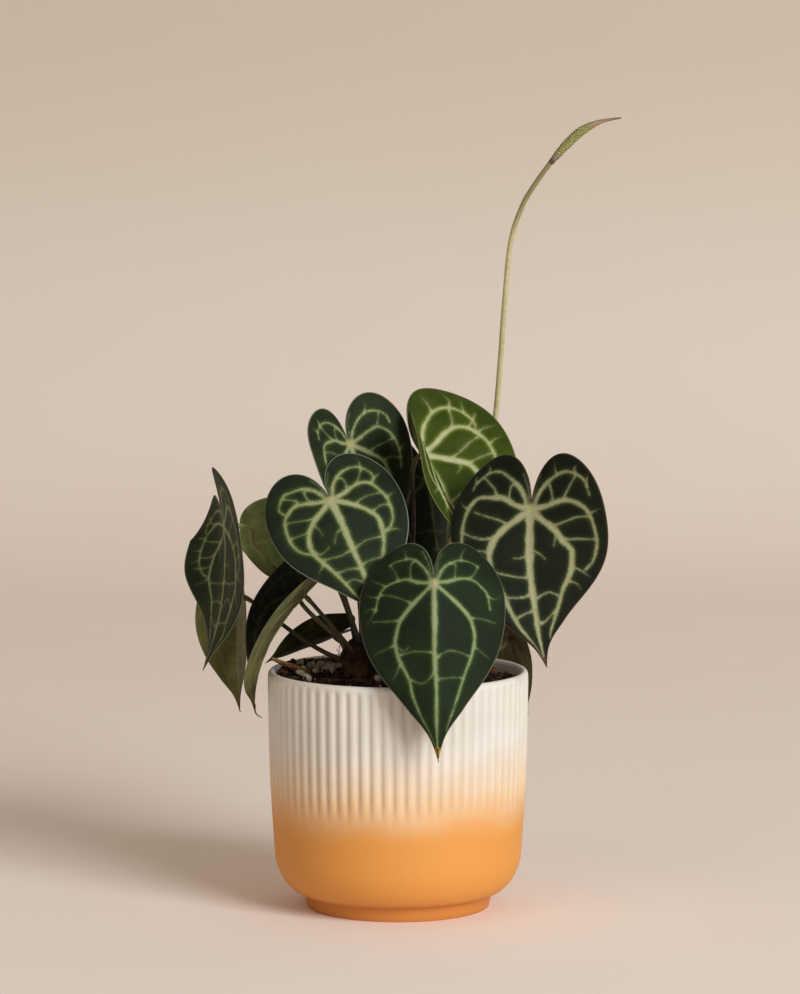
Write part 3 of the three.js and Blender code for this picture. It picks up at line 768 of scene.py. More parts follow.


# %% [markdown]
# ## The stalks
# A leaf stalk follows a path, so a Geometry Nodes tree makes it: the path's points carry a
# radius, and a round section is swept along them. The path bends as the solid's does. Its
# directions were started and then moved by a search, so that no stalk meets another or a
# blade. The foot is thicker, and under the blade sits a slight swelling, the knee that lets a
# leaf turn.

# %% Starting and ending a tree
def new_tree(name, **kinds):
    """An empty Geometry Nodes tree, and a wire from each of its named inputs."""
    tree = bpy.data.node_groups.new(name, "GeometryNodeTree")
    for label, kind in kinds.items():
        tree.interface.new_socket(label, in_out="INPUT", socket_type="NodeSocket" + kind)
    tree.interface.new_socket("Geometry", in_out="OUTPUT", socket_type="NodeSocketGeometry")
    given = tree.nodes.new("NodeGroupInput")
    return Tree(tree), [Wire(tree, given.outputs[i]) for i in range(len(kinds))]


def end_tree(t, geometry, material):
    """Ends a tree as an export needs it: with no instances left, and with one finish."""
    real = t.node("GeometryNodeRealizeInstances", None, {"Geometry": geometry})
    inputs = {"Geometry": real, "Material": material}
    done = t.node("GeometryNodeSetMaterial", None, inputs)
    t.tree.links.new(done.socket, t.tree.nodes.new("NodeGroupOutput").inputs[0])
    return t.tree


def run_tree(name, mesh, tree, values):
    """Runs a Geometry Nodes tree on a mesh and keeps its result as a plain mesh object."""
    base = put(name + "_base", mesh)
    modifier = base.modifiers.new("tree", "NODES")
    modifier.node_group = tree
    for item in tree.interface.items_tree:
        if item.item_type == "SOCKET" and item.in_out == "INPUT" and item.name in values:
            modifier[item.identifier] = values[item.name]
    seen = base.evaluated_get(bpy.context.evaluated_depsgraph_get())
    result = bpy.data.meshes.new_from_object(seen)
    base.modifiers.clear()
    bpy.data.objects.remove(base)
    return put(name, result)


# %% A tree that sweeps a round section along a path
def sweep_tree():
    kinds = {"Path": "Geometry", "Sides": "Int", "Finish": "Material"}
    t, (path, sides, material) = new_tree("sweep along path", **kinds)
    curve = t.node("GeometryNodeMeshToCurve", None, {"Mesh": path})
    radius = t.node("GeometryNodeInputNamedAttribute", {"data_type": "FLOAT"}, {"Name": "radius"})
    section = t.node("GeometryNodeCurvePrimitiveCircle", None, {"Resolution": sides, "Radius": 1.0})
    inputs = {"Curve": curve, "Profile Curve": section, "Scale": radius, "Fill Caps": True}
    tube = t.node("GeometryNodeCurveToMesh", None, inputs)
    return end_tree(t, t.node("GeometryNodeSetShadeSmooth", None, {"Geometry": tube}), material)


SWEEP = sweep_tree()


def sweep(name, lines, radii, sides, material):
    """A round tube along each line. The lines and the radii are in millimetres."""
    steps, count = [], 0
    for line in lines:
        steps += [(count + i, count + i + 1) for i in range(len(line) - 1)]
        count += len(line)
    mesh = mesh_of(name + "_path", np.concatenate(lines), steps)
    mark(mesh, "radius", np.full(count, radii, float) * MM)
    return run_tree(name, mesh, SWEEP, {"Sides": sides, "Finish": material})


# %% The stalks' paths
STALKS = {  # root on the stem, first direction, last direction seen from the hub
    "front": ((-8.9, -6, 137.9), (6, -12, 52), (-0.5, 21.7, -10.6)),
    "right": ((-6.4, -2.4, 136.3), (26, -19, 43), (5.1, 16.4, -4.6)),
    "left": ((-18.9, -3.8, 137), (-10, -8, 35), (-6.5, 18.8, -19.2)),
    "upper_left": ((-19.1, 4.2, 139.9), (-3, 6, 76), (-16, 18.3, -9.1)),
    "young": ((-5, 1, 138.3), (25, 8, 70), (-12.7, 9.9, -11)),
    "far_left": ((-27, 1, 137), (-4, 0, 7), (13, 15, -4)),
    "low_left": ((-26, -2, 132), (-30, -1, 10), (14, 2, -3)),
    "behind_left": ((-22, 9.5, 138.6), (-7, 0, 36), (9, -13, 2)),
    "folded": ((-21.1, -7.5, 135.4), (-9, -3, 11), (2, 6, -1.5)),
    "small": ((-25.9, 6.8, 135.3), (-3, 6, 8), (2.5, -3.9, -5)),
    "back_right": ((-3, 1, 133), (42, 20, -5), (-2.4, -14.5, -9)),
    "shaded": ((-12, 10, 137), (-2, 28, 40), (-12, 16, -6)),
}
FAR_LEFT_BENDS = [
    (-38.7, 1, 150.4), (-49.4, 0, 161), (-55, 4, 168), (-62, 16.6, 175), (-70, 24.4, 183),
    (-79, 24.6, 194),
]
STALK_CLEAR = {  # how far a stalk ends from its hub, in millimetres, and 0.4 for the others
    "front": 0.8, "left": 0.8, "far_left": 1.3, "low_left": 0.7, "folded": 1.0,
    "behind_left": 3.55, "back_right": 1.75, "shaded": 0.8,
}


def stalk_path(name):
    """A stalk's line from the stem to just under its hub, in millimetres."""
    root, lift, arrive = (np.array(v, float) for v in STALKS[name])
    hub = np.array(LEAVES[name]["hub"], float)
    end = hub + arrive / np.linalg.norm(arrive) * STALK_CLEAR.get(name, 0.4)
    if name == "far_left":
        return smooth_line([root, root + lift, *FAR_LEFT_BENDS, hub + arrive, end], 2.0)
    t = np.linspace(0, 1, 44)[:, None]
    pull = root + lift
    return (
        root * (1 - t) ** 3 + 3 * pull * t * (1 - t) ** 2
        + 3 * (hub + arrive) * t**2 * (1 - t) + end * t**3
    )


# %% The finish of a stalk, and all twelve stalks
def stalk_finish(name, young, old, knee, start=0.82):
    """start: the share of the way up where the knee's colour begins. On the far left stalk that pale
    colour is partly painted light.
    """

    def draw(t):
        streak = t.noise(1.0, 3.0, 0.6, (1, 1, 0.12))
        colour = t.blend(old, young, t.step(streak, 0.35, 0.65))
        colour = t.blend(colour, knee, t.step(t.attribute("rise"), start, start + 0.14) * 0.7)
        colour = t.specks(colour, "#8d8258", 0.7, 1.0, 0.62, 0.72, 0.5)
        return {"Base Color": colour, "Roughness": 0.5 + streak * 0.2, "Bump": (streak, 0.08)}

    return finish(name, draw, Specular_IOR_Level=0.4)


STALK_TINTS = {
    # the far left stalk's pale tint from halfway up is partly its real pale knee and partly painted
    # light
    "far_left": ("#6b6636", "#4c4628", "#d2d084", 0.5), "folded": ("#4e4a22", "#3a321a", "#6b6534"),
    "left": ("#4a4422", "#332b16", "#5f5a30"), "low_left": ("#5b5130", "#3d331c", "#6f6a42"),
}
STALK_RADIUS = 1.25
FOOT_SWELL, KNEE_SWELL = 0.9, 0.32  # how much thicker the foot and the knee are, in millimetres
for name in STALKS:
    path = stalk_path(name)
    run = length_along(path)
    t = run / run[-1]
    knee = KNEE_SWELL * np.exp(-(((t - 0.93) / 0.045) ** 2))
    radii = STALK_RADIUS * (1 - 0.12 * t) + FOOT_SWELL * np.exp(-t / 0.07) + knee
    tints = STALK_TINTS.get(name, ("#454020", "#2e2814", "#5e5a34"))
    material = stalk_finish("stalk_skin_" + name, *tints)
    piece = sweep("petiole_" + name, [path], radii, 14, material)
    spots = np.array([v.co[:] for v in piece.data.vertices]) / MM
    close = np.linalg.norm(spots[:, None, :] - path[None, ::2, :], axis=-1).argmin(1)
    mark(piece.data, "rise", t[::2][close])
    settle(piece, "stalk", "stalk_" + name)


# %% The drip tips
DRIP_TIPS = {  # how far the thin dry tip runs on past the blade, and how it turns aside
    "front": (2.6, (0.4, 0, 0)), "right": (1.6, (-0.3, 0, 0)), "folded": (5.0, (3.6, -1, -0.6)),
    "low_left": (2.0, (0.8, 0, 0)), "far_left": (1.8, (0.5, 0, 0)),
}
HORN = stalk_finish("dry_tip", "#4a3018", "#2e1c0f", "#5a4022")
for name, (length, aside) in DRIP_TIPS.items():
    leaf = LEAVES[name]
    before, tip = bend(leaf, flat(leaf, [0, 0], [0.93, 0.985]))
    ahead = (tip - before) / np.linalg.norm(tip - before)
    line = [before, tip, tip + ahead * length * 0.5 + np.array(aside) * 0.25]
    line = smooth_line([*line, tip + ahead * length * 0.8 + np.array(aside)], 0.4)
    t = np.linspace(0, 1, len(line))
    settle(sweep("drip_tip_" + name, [line], 0.62 - 0.45 * t, 8, HORN), "stalk")


# %% [markdown]
# ## The pot
# The pot is thrown as one smooth form, and its upper half carries upright flutes. A plain body
# of revolution gives the form. A Geometry Nodes tree then carves the flutes by a rule: the
# depth follows a wave round the pot and fades out at two heights. The matt glaze runs from
# warm white at the rim to orange below, a dip that ends in a soft cloud of colour.

# %% The plain body of the pot
POT_PROFILE = [
    (0.0, 46.5), (0.0, 48.7), (0.5, 49.2), (3, 49.6), (6.2, 50.5), (7.4, 50.9), (8.0, 51.8),
    (8.6, 54.2), (9.6, 56.2), (11, 58.0), (13.2, 60.2), (15.4, 61.9), (17.6, 63.2), (20, 64.3),
    (23, 65.4), (26.4, 66.2), (30, 66.6), (35, 66.9), (40, 67.2), (46, 67.6), (52, 68.0), (56, 68.2),
    (60, 68.4), (64, 68.7), (68, 68.9), (74, 69.1), (82, 69.3), (90, 69.5), (98, 69.65), (106, 69.8),
    (112, 69.9), (116, 69.95), (119, 70), (121, 70), (122.5, 70), (123.5, 70), (124.5, 70),
    (126, 69.9), (127.2, 69.5), (127.9, 68.9), (128.2, 68.2), (128.2, 67.6), (127.9, 66.9),
    (127.2, 66.3), (125.5, 66.05), (121, 66), (114, 65.9), (100, 65.6), (60, 64.3), (26, 61.8),
    (16, 56), (10, 48), (8, 40),
]
FLUTES = 70
RIDGE_DEG = -84.48  # where one ridge stands, as an angle round the pot


def revolve(profile, columns, start_deg):
    """Points and faces of a closed body of revolution, from the foot up, over and down inside."""
    points = [p for z, r in profile for p in circle(r, z, columns, start_deg)]
    faces = tube_faces(len(profile), columns, capped=False)
    ends = len(points) - columns
    points += [(0, 0, profile[0][0]), (0, 0, profile[-1][0])]
    for i in range(columns):
        j = (i + 1) % columns
        faces.append((j, i, len(points) - 2))
        faces.append((ends + i, ends + j, len(points) - 1))
    return points, faces


# %% The tree that carves the flutes
FLUTE_DEPTH, FLUTES_LOW, FLUTES_HIGH = 1.0, 57, 126.2  # in millimetres
FADE_IN, FADE_OUT = 9.0, 3.5  # over how much height they begin and end, in millimetres
INNER_WALL = 67.2  # what lies closer to the axis is the inside of the pot, and stays plain


def flute_tree():
    kinds = {"Body": "Geometry", "Flutes": "Int", "Depth": "Float", "Turn": "Float"}
    kinds.update({"Low": "Float", "High": "Float", "Inside": "Float", "Finish": "Material"})
    t, given = new_tree("flutes", **kinds)
    body, flutes, depth, turn, low, high, inside, material = given
    x, y, z = t.split(t.node("GeometryNodeInputPosition"))
    angle = y.math("ARCTAN2", x)
    wave = ((angle - turn) * flutes).math("COSINE")
    groove = (0.5 - wave * 0.5) ** 1.6
    radius = (x * x + y * y) ** 0.5
    outside = radius.math("GREATER_THAN", inside)
    rise = ((z - low) / (FADE_IN * MM)).math("SMOOTH_MIN", 1.0, 0.2).math("MAXIMUM", 0.0)
    fall = ((high - z) / (FADE_OUT * MM)).math("SMOOTH_MIN", 1.0, 0.2).math("MAXIMUM", 0.0)
    groove = groove * rise * fall * outside
    inward = groove * depth / radius * -1.0
    offset = t.node("ShaderNodeCombineXYZ", None, {0: x * inward, 1: y * inward})
    inputs = {"Geometry": body, "Name": "groove", "Value": groove}
    carved = t.node("GeometryNodeStoreNamedAttribute", None, inputs)
    carved = t.node("GeometryNodeSetPosition", None, {"Geometry": carved, "Offset": offset})
    return end_tree(t, t.node("GeometryNodeSetShadeSmooth", None, {"Geometry": carved}), material)


# %% The glaze, and the fluted pot
def pot_finish():
    def draw(t):
        height = t.where_mm()[2]
        cloud = (t.noise(34, 4.0, 0.55) - 0.5) * 16 + (t.noise(3, 3.0) - 0.5) * 2.5
        level = height + cloud
        white = t.blend("#dfd7cd", "#d8cfc3", t.step(t.noise(26, 3.0), 0.3, 0.7))
        peach = t.step(level, 97, 62)
        colour = t.blend(white, "#e6c196", peach * 0.9)
        colour = t.blend(colour, "#dc9039", t.step(level, 74, 42) * 0.95)
        # painted shade: the glaze darkens at the foot, where the pot meets the floor
        colour = t.blend(colour, "#bd7330", t.step(height, 12, 6) * 0.7)
        colour = t.specks(colour, "#b98a58", 0.9, 1.0, 0.70, 0.78, 0.12)
        # painted shade: the glaze is darkened in the grooves of the flutes
        colour = t.blend(colour, "#8f7a60", t.attribute("groove") * 0.16)
        pits = t.noise(0.5, 2.0, 0.6)
        rough = 0.50 + t.noise(7, 2.0) * 0.12 + pits * 0.06
        return {"Base Color": colour, "Roughness": rough, "Bump": (pits * 0.5 + t.noise(4, 2.0), 0.05)}

    return finish("matt_glaze", draw, Specular_IOR_Level=0.42)


GLAZE = pot_finish()
points, faces = revolve(POT_PROFILE, FLUTES * 10, RIDGE_DEG)
pot = run_tree("fluted_pot", mesh_of("pot_body", points, (), faces), flute_tree(), {
    "Flutes": FLUTES, "Depth": FLUTE_DEPTH * MM, "Turn": math.radians(RIDGE_DEG),
    "Low": FLUTES_LOW * MM, "High": FLUTES_HIGH * MM, "Inside": INNER_WALL * MM, "Finish": GLAZE,
})
settle(pot, "glazed_pot", "pot")


# %% [markdown]
# ## The soil
# The soil is a dark, coarse mix. Its body fills the pot, mounded towards the stem. Loose bits
# lie on it in their hundreds: crumbs of bark, grit, a drift of pale pebbles and a few white
# grains. They are scattered by a Geometry Nodes tree from a few small lumps, with fixed seeds.

# %% The body of the soil
def lumpy(x, y, z, size):
    """Smooth noise from about -1 to 1, with lumps about size across."""
    return noise.noise(Vector((x / size, y / size, z / size)))


STEM_X = -16  # the stem stands left of the pot's axis
PEBBLE_DRIFT = (-41, 8)  # the middle of the drift of pebbles
BANK = (144, 34)  # where the mix is heaped against the wall: its middle and spread, in degrees


def heap(x, y, wide):
    """1 at the middle of the drift of pebbles, falling away smoothly."""
    away = (x - PEBBLE_DRIFT[0]) ** 2 + (y - PEBBLE_DRIFT[1]) ** 2
    return math.exp(-away / (2 * wide**2))


SOIL_LEVEL, SOIL_RADIUS = 121.5, 65.5  # of the mix at the wall, in millimetres


def soil_height(x, y):
    """How high the mix lies: a mound at the stem, lumps, the drift, and the bank at the wall."""
    away = (x - STEM_X) ** 2 + y**2
    lumps = 0.6 * math.sin(x / 5 + 1) * math.cos(y / 4) + 0.35 * math.sin((x + y) / 3)
    turn = (math.degrees(math.atan2(y, x)) - BANK[0] + 180) % 360 - 180
    wall = min(1, max(0, (math.hypot(x, y) - 40) / 24)) ** 1.5
    bank = 5.4 * wall * math.exp(-((turn / BANK[1]) ** 4))
    mound = 4 * math.exp(-away / (2 * 26**2))
    return SOIL_LEVEL + mound + lumps + 2.6 * heap(x, y, 20) + bank


def soil_body():
    """Rings of points up the inside of the pot, and then inwards over the rough top."""
    columns, points = 150, []
    wall = [(8.6, 39), (10.6, 47.2), (16.6, 55.2), (26.6, 61.1), (60, 63.8), (112, 65.3)]
    for z, r in wall:
        points += circle(r, z, columns)
    shares = np.linspace(1, 0.03, 52)
    for share in shares:
        for x, y, _ in circle(SOIL_RADIUS * share, 0, columns):
            z = soil_height(x, y) + 1.3 * lumpy(x, y, 1, 6) + 0.8 * lumpy(x, y, 5, 2.2)
            points.append((x, y, z - (1.2 if share == 1 else 0)))
    return points, tube_faces(len(wall) + len(shares), columns)


def earth_finish(name, dark, light, grain_mm):
    def draw(t):
        grain = t.noise(grain_mm, 5.0, 0.65)
        colour = t.blend(dark, light, t.step(grain, 0.42, 0.68))
        patch = t.step(t.noise(grain_mm * 7, 3.0), 0.4, 0.65)
        colour = t.blend(colour, dark, patch * 0.6)
        return {"Base Color": colour, "Roughness": 0.85 + grain * 0.15, "Bump": (grain, 0.35)}

    return finish(name, draw, Specular_IOR_Level=0.25)


EARTH = earth_finish("potting_earth", "#1a110a", "#4a3524", 1.6)
points, faces = soil_body()
settle(solid_piece("soil_mass", points, faces, EARTH), "potting_mix", "soil")


# %% The tree that scatters loose bits over the soil
def scatter_tree():
    kinds = {"Ground": "Geometry", "Bit": "Object", "Density": "Float", "Apart": "Float"}
    kinds.update({"Seed": "Int", "Smallest": "Float", "Largest": "Float", "Finish": "Material"})
    t, given = new_tree("scatter bits", **kinds)
    ground, bit, density, apart, seed, small, large, material = given
    weight = t.node("GeometryNodeInputNamedAttribute", {"data_type": "FLOAT"}, {"Name": "weight"})
    inputs = {"Mesh": ground, "Distance Min": apart, "Density Max": density, "Seed": seed}
    inputs["Density Factor"] = weight
    spots = t.node("GeometryNodeDistributePointsOnFaces", {"distribute_method": "POISSON"}, inputs)
    shape = t.node("GeometryNodeObjectInfo", None, {"Object": bit}, out=4)
    turn = t.node(
        "FunctionNodeRandomValue", {"data_type": "FLOAT_VECTOR"},
        {0: (0, 0, 0), 1: (6.28, 6.28, 6.28), "Seed": seed},
    )
    size = t.node(
        "FunctionNodeRandomValue", {"data_type": "FLOAT"},
        {2: small, 3: large, "Seed": seed + 7}, out=1,
    )
    inputs = {"Points": spots, "Instance": shape, "Rotation": turn, "Scale": size}
    return end_tree(t, t.node("GeometryNodeInstanceOnPoints", None, inputs), material)


def lump_object(name, sizes, seed, detail=1):
    """One small irregular lump, about 1 mm across, to be scattered."""
    shape = bmesh.new()
    bmesh.ops.create_icosphere(shape, subdivisions=detail, radius=0.5 * MM)
    for v in shape.verts:
        swell = 1 + 0.3 * noise.noise(v.co / MM * 1.5 + Vector((seed, 3 * seed, 0)))
        v.co = Vector([c * s * swell for c, s in zip(v.co, sizes)])
    mesh = bpy.data.meshes.new(name)
    shape.to_mesh(mesh)
    shape.free()
    return put(name, mesh)


def soil_top(weigh, lift):
    """The soil's surface alone, lifted, with how thickly bits lie at each point."""
    columns, shares = 72, np.linspace(0.97, 0.24, 26)
    spots = [p[:2] for share in shares for p in circle((SOIL_RADIUS - 1) * share, 0, columns)]
    points = [(x, y, soil_height(x, y) + lift) for x, y in spots]
    mesh = mesh_of("soil_top", points, (), tube_faces(len(shares), columns, capped=False))
    mark(mesh, "weight", [weigh(x, y) for x, y in spots])
    return mesh


SCATTER = scatter_tree()


def stone_finish(name, first, second, rough):
    def draw(t):
        cloud = t.noise(3.2, 4.0, 0.6)
        colour = t.blend(first, second, t.step(cloud, 0.35, 0.65))
        colour = t.specks(colour, "#5d564c", 0.6, 2.0, 0.62, 0.75, 0.5)
        return {"Base Color": colour, "Roughness": rough + cloud * 0.15, "Bump": (cloud, 0.15)}

    return finish(name, draw)


def everywhere(x, y):
    return 1.0


def drifted(x, y):
    return min(1, 0.03 + 1.6 * heap(x, y, 11))


# The gap and the lift are in millimetres. The smallest and the largest are the factors that
# enlarge a lump of about 1 mm.
BITS = {  # shape, form, number in a square metre, gap, smallest, largest, lift, finish, where
    "bark_crumbs": ((1.5, 1.0, 0.6), 2, 70000, 0.8, 1.2, 3.4, 0.3, EARTH, everywhere),
    "grit": ((1.1, 0.9, 0.8), 5, 110000, 0.5, 0.6, 1.5, 0.3,
             earth_finish("grit_earth", "#2a1d12", "#5b4936", 0.9), everywhere),
    "bark_bits": ((1.7, 1.0, 0.45), 7, 12000, 3.5, 3.0, 6.0, 0.5,
                  earth_finish("red_bark", "#3b2114", "#7a4e33", 1.4), everywhere),
    "pebbles": ((1.15, 1.0, 0.62), 9, 90000, 4.5, 4.6, 6.6, 1.2,
                stone_finish("pebble_stone", "#a3977c", "#d2c7b0", 0.6), drifted),
    "white_grains": ((1.0, 0.9, 0.8), 11, 4000, 3.0, 0.8, 2.0, 0.3,
                     stone_finish("perlite", "#cfc8ba", "#e6e0d4", 0.8), everywhere),
}
for seed, (name, values) in enumerate(BITS.items()):
    sizes, form, density, gap, small, large, lift, material, weigh = values
    lump = lump_object(name + "_lump", sizes, form, 2 if large > 3 else 1)
    piece = run_tree(name, soil_top(weigh, lift), SCATTER, {
        "Bit": lump, "Density": density, "Apart": gap * MM, "Seed": seed + 3, "Smallest": small,
        "Largest": large, "Finish": material,
    })
    piece.data.polygons.foreach_set("use_smooth", [large > 3] * len(piece.data.polygons))
    bpy.data.objects.remove(lump)
    settle(piece, "potting_mix")


# %% [markdown]
# ## The stem base, bark, dry sheath and the flower spike
# The stem base is a stump of old leaf scars, wrapped in dead fibres. Noise pushes its surface
# in and out. Bark chips and the dry sheath are thin rough slips. The flower spike is a tapered
# core whose lower half is ringed by rows of low scaly florets, and its tip is bare and thin.

# %% The stem base
STEM_RADIUS = 15.6
STEM_PROFILE = [  # height in millimetres, share of the radius
    (94, 0.55), (100, 0.8), (112, 1), (124, 1.02), (132, 1), (138, 0.9), (143, 0.66), (147, 0.28),
]


def stump():
    """Rings of points up the stem, pushed in and out by leaf scars and by noise."""
    columns, rows, points = 110, 64, []
    for z in np.linspace(94.3, 146.9, rows):
        share = np.interp(z, *zip(*STEM_PROFILE))
        for a in turns(columns):
            swell = 1 + 0.05 * math.sin(3 * a + z / 9) + 0.03 * math.sin(7 * a + z / 4)
            r = STEM_RADIUS * share * swell
            x, y = r * math.cos(a), r * math.sin(a)
            ring = 0.7 * abs(math.sin(z / 3.1 + 0.8 * lumpy(x, y, z, 9)))
            r += 1.5 * lumpy(x, y, z * 0.5, 3.2) + 0.8 * lumpy(x, y, z * 0.25, 1.1) - ring
            points.append((r * math.cos(a) + STEM_X, r * math.sin(a), z))
    return points, tube_faces(rows, columns)


def fibre_finish(name, dark, light, stretch, foot=None):
    """foot: colour of the papery red scales low on the left of the stem."""

    def draw(t):
        strand = t.noise(0.9, 5.0, 0.7, stretch)
        patch = t.noise(5, 3.0)
        colour = t.blend(dark, light, t.step(strand, 0.45, 0.7))
        colour = t.blend(colour, dark, t.step(patch, 0.42, 0.62) * 0.7)
        if foot:
            x, y, z = t.where_mm()
            ragged = (patch - 0.5) * 14
            low = t.step(z + ragged, 136, 131) * t.step(x + ragged, -13, -19) * t.step(y, 5, -4)
            scale = t.blend(foot, light, t.step(strand, 0.5, 0.75))
            colour = t.blend(colour, scale, low * 0.85)
        colour = t.specks(colour, "#b9ad98", 0.8, 1.0, 0.72, 0.78, 0.5)
        return {"Base Color": colour, "Roughness": 0.8 + strand * 0.2, "Bump": (strand, 0.5)}

    return finish(name, draw, Specular_IOR_Level=0.3)


FIBRE = fibre_finish("stem_fibre", "#1d120b", "#5d412c", (1, 1, 0.25), "#54361f")
points, faces = stump()
settle(solid_piece("stem_stump", points, faces, FIBRE), "caudex", "stem_base")


def strands():
    """Dead fibres that stand off the stump, each a short curved path."""
    draw = np.random.RandomState(17)
    pieces = []
    for k in range(70):
        a = draw.uniform(0, 2 * math.pi)
        z = draw.uniform(124, 142)
        share = np.interp(z, *zip(*STEM_PROFILE))
        out = np.array([math.cos(a), math.sin(a), 0])
        start = np.array([STEM_X, 0, z]) + out * 14.8 * share
        bow = np.array([draw.normal(0, 1.5), draw.normal(0, 1.5), draw.uniform(-5, 6)])
        mid = start + out * draw.uniform(1.0, 2.6) + bow * 0.5
        end = start + out * draw.uniform(0.4, 2.8) + bow
        pieces.append(smooth_line([start, mid, end], 0.8))
    return pieces


loose = fibre_finish("loose_fibre", "#2a1c11", "#6b4d33", (1, 1, 1))
settle(sweep("stem_strands", strands(), 0.22, 5, loose), "caudex")


# %% Bark chips and the dry sheath
CHIPS = {  # middle, size, turn and tilt in degrees, and the two tints
    "bark_chip_a": ((-24, 19, 124.6), (13, 7, 3), 20, 8, ("#3d2416", "#7d5236")),
    "bark_chip_b": ((-21, -24, 125.4), (11, 6, 3), -25, -6, ("#4a2e1c", "#8b6040")),
    "bark_chip_c": ((-33, 40, 124.4), (15, 5, 2.6), -12, 5, ("#4d473d", "#8a8272")),
    "bark_chip_d": ((40, 12, 124), (12, 8, 3), 70, 6, ("#2a1b12", "#5a3e2b")),
}


def bark(name, seed, at, size, turn, tilt, tints):
    """A chip of bark: a flat lump whose surface is torn along its length."""
    columns, rows, points = 30, 13, []
    for lat in math.pi * (np.arange(rows) + 0.5) / rows - math.pi / 2:
        for lon in turns(columns):
            v = np.array([math.cos(lat) * math.cos(lon), math.cos(lat) * math.sin(lon), math.sin(lat)])
            v = np.sign(v) * np.abs(v) ** 0.55 * np.array(size) / 2 * (0.86, 0.82, 0.8)
            tear = lumpy(v[0] * 0.4 + seed * 9, v[1], v[2], 1.3)
            v *= 1 + 0.16 * tear + 0.10 * lumpy(*(v + seed * 5), 4)
            points.append(v)
    c, s = math.cos(math.radians(tilt)), math.sin(math.radians(tilt))
    lean = np.array([[1, 0, 0], [0, c, -s], [0, s, c]])
    c, s = math.cos(math.radians(turn)), math.sin(math.radians(turn))
    spin = np.array([[c, -s, 0], [s, c, 0], [0, 0, 1]])
    points = np.array(points) @ lean.T @ spin.T + np.array(at)
    material = fibre_finish(name + "_skin", *tints, (0.3, 1, 1))
    return solid_piece(name.replace("chip", "slip"), points, tube_faces(rows, columns), material)


for seed, (name, details) in enumerate(CHIPS.items()):
    settle(bark(name, seed, *details), "bark", name)
LOOSE = {  # slips that lie on the heaped mix and have no solid of their own
    "rim_slip": ((-42.5, 40, 127.2), (25, 6.5, 3.6), 43, -10, ("#3f382e", "#857a68")),
    "front_slip": ((-36, -22, 125.2), (14, 5, 2.4), -20, 12, ("#4a2c1a", "#8a5f3e")),
}
for seed, (name, details) in enumerate(LOOSE.items(), 20):
    settle(bark(name, seed, *details), "potting_mix")

SHEATH_LINE = [
    (-33, -13, 123.5), (-40, -8, 124.6), (-48, -2, 126.2), (-56, 0, 129.2), (-62, -1, 131.6),
    (-68, -3, 134.4),
]
SHEATH_LEAN = 38  # how far it rolls to one side, in degrees


def sheath():
    """A dry scale: a ribbon that is rolled like a gutter and narrows to both ends."""
    line = smooth_line(SHEATH_LINE, 1.0)
    columns, points = 24, []
    t = np.linspace(0, 1, len(line))
    side, up = frames(line, [0, 0, 1])
    c, s = math.cos(math.radians(SHEATH_LEAN)), math.sin(math.radians(SHEATH_LEAN))
    side, up = side * c - up * s, up * c + side * s
    half = 1.0 + 2.1 * np.sin(math.pi * (0.1 + 0.85 * t)) ** 1.2
    for k in range(len(line)):
        crinkle = 0.18 * math.sin(k * 1.3)
        for a in turns(columns):
            s, h = math.cos(a), 0.22 * math.sin(a) + 0.34 * math.cos(a) ** 2
            offset = up[k] * half[k] * (h - 0.2 + crinkle * s * 0.3)
            points.append(line[k] + side[k] * half[k] * s + offset)
    return points, tube_faces(len(line), columns)


points, faces = sheath()
paper = fibre_finish("dry_sheath_skin", "#8a5a30", "#c9a67a", (0.4, 0.7, 1))
settle(solid_piece("dry_scale", points, faces, paper), "dry_sheath", "dry_sheath")


# %% The flower stalk, its scar and the spike
FLOWER_LINE = [
    (-7, 8, 136), (5, 16, 158), (24, 24, 186), (42, 34, 222), (50.5, 44, 248), (53.3, 45, 262.4),
    (55.5, 36, 291.8), (57.1, 24, 320.1), (60.2, 12, 356.6), (66, 6, 375.9), (72, 2, 387),
    (81, -2.5, 399.9),
]
SCAR_LINE = [(80.9, -2.5, 399.7), (81.8, -2.9, 400.7), (82.5, -3.2, 401.7)]
SPIKE_LINE = [(82.4, -3.1, 401.5), (89, -5, 409), (97, -7, 416.5), (107, -9, 421.5), (118, -11, 423.6)]


def waxy_finish(name, first, second, upper, streak_mm):
    def draw(t):
        streak = t.noise(streak_mm, 3.0, 0.6, (1, 1, 0.15))
        colour = t.blend(first, second, t.step(streak, 0.35, 0.65))
        height = t.where_mm()[2] + (t.noise(9, 2.0) - 0.5) * 14
        colour = t.blend(colour, upper, t.step(height, 352, 384) * 0.85)
        colour = t.specks(colour, "#7d6a45", 1.2, 2.0, 0.64, 0.74, 0.4)
        return {"Base Color": colour, "Roughness": 0.45 + streak * 0.2, "Bump": (streak, 0.08)}

    return finish(name, draw, Specular_IOR_Level=0.4)


line = smooth_line(FLOWER_LINE, 2.0)
t = np.linspace(0, 1, len(line))
radii = 1.75 * (1 - 0.24 * t) + 0.9 * np.exp(-t / 0.05)
wax = waxy_finish("pale_wax", "#c2b88e", "#aca36f", "#7d7248", 0.9)
settle(sweep("peduncle", [line], radii, 16, wax), "flower_stalk", "flower_stalk")

line = smooth_line(SCAR_LINE, 0.25)
t = np.linspace(0, 1, len(line))
radii = 1.35 + 0.28 * np.sin(math.pi * t) + 0.06 * np.sin(t * 40)
corky = fibre_finish("scar_skin", "#54402e", "#86705a", (1, 1, 1))
settle(sweep("scar_ring", [line], radii, 24, corky), "spadix", "spathe_scar")


# %% The spike and its florets
SPIKE_SHAPE = [  # share of the way to the tip, radius in millimetres
    (0, 1.5), (0.1, 2.0), (0.25, 2.38), (0.45, 2.48), (0.6, 2.0), (0.7, 1.42), (0.8, 0.93),
    (0.9, 0.54), (1, 0.25),
]
SCALES_END = 0.64  # the share of the way to the tip where the florets end
SCALE_ROWS = 31  # as many as would fit on the whole length


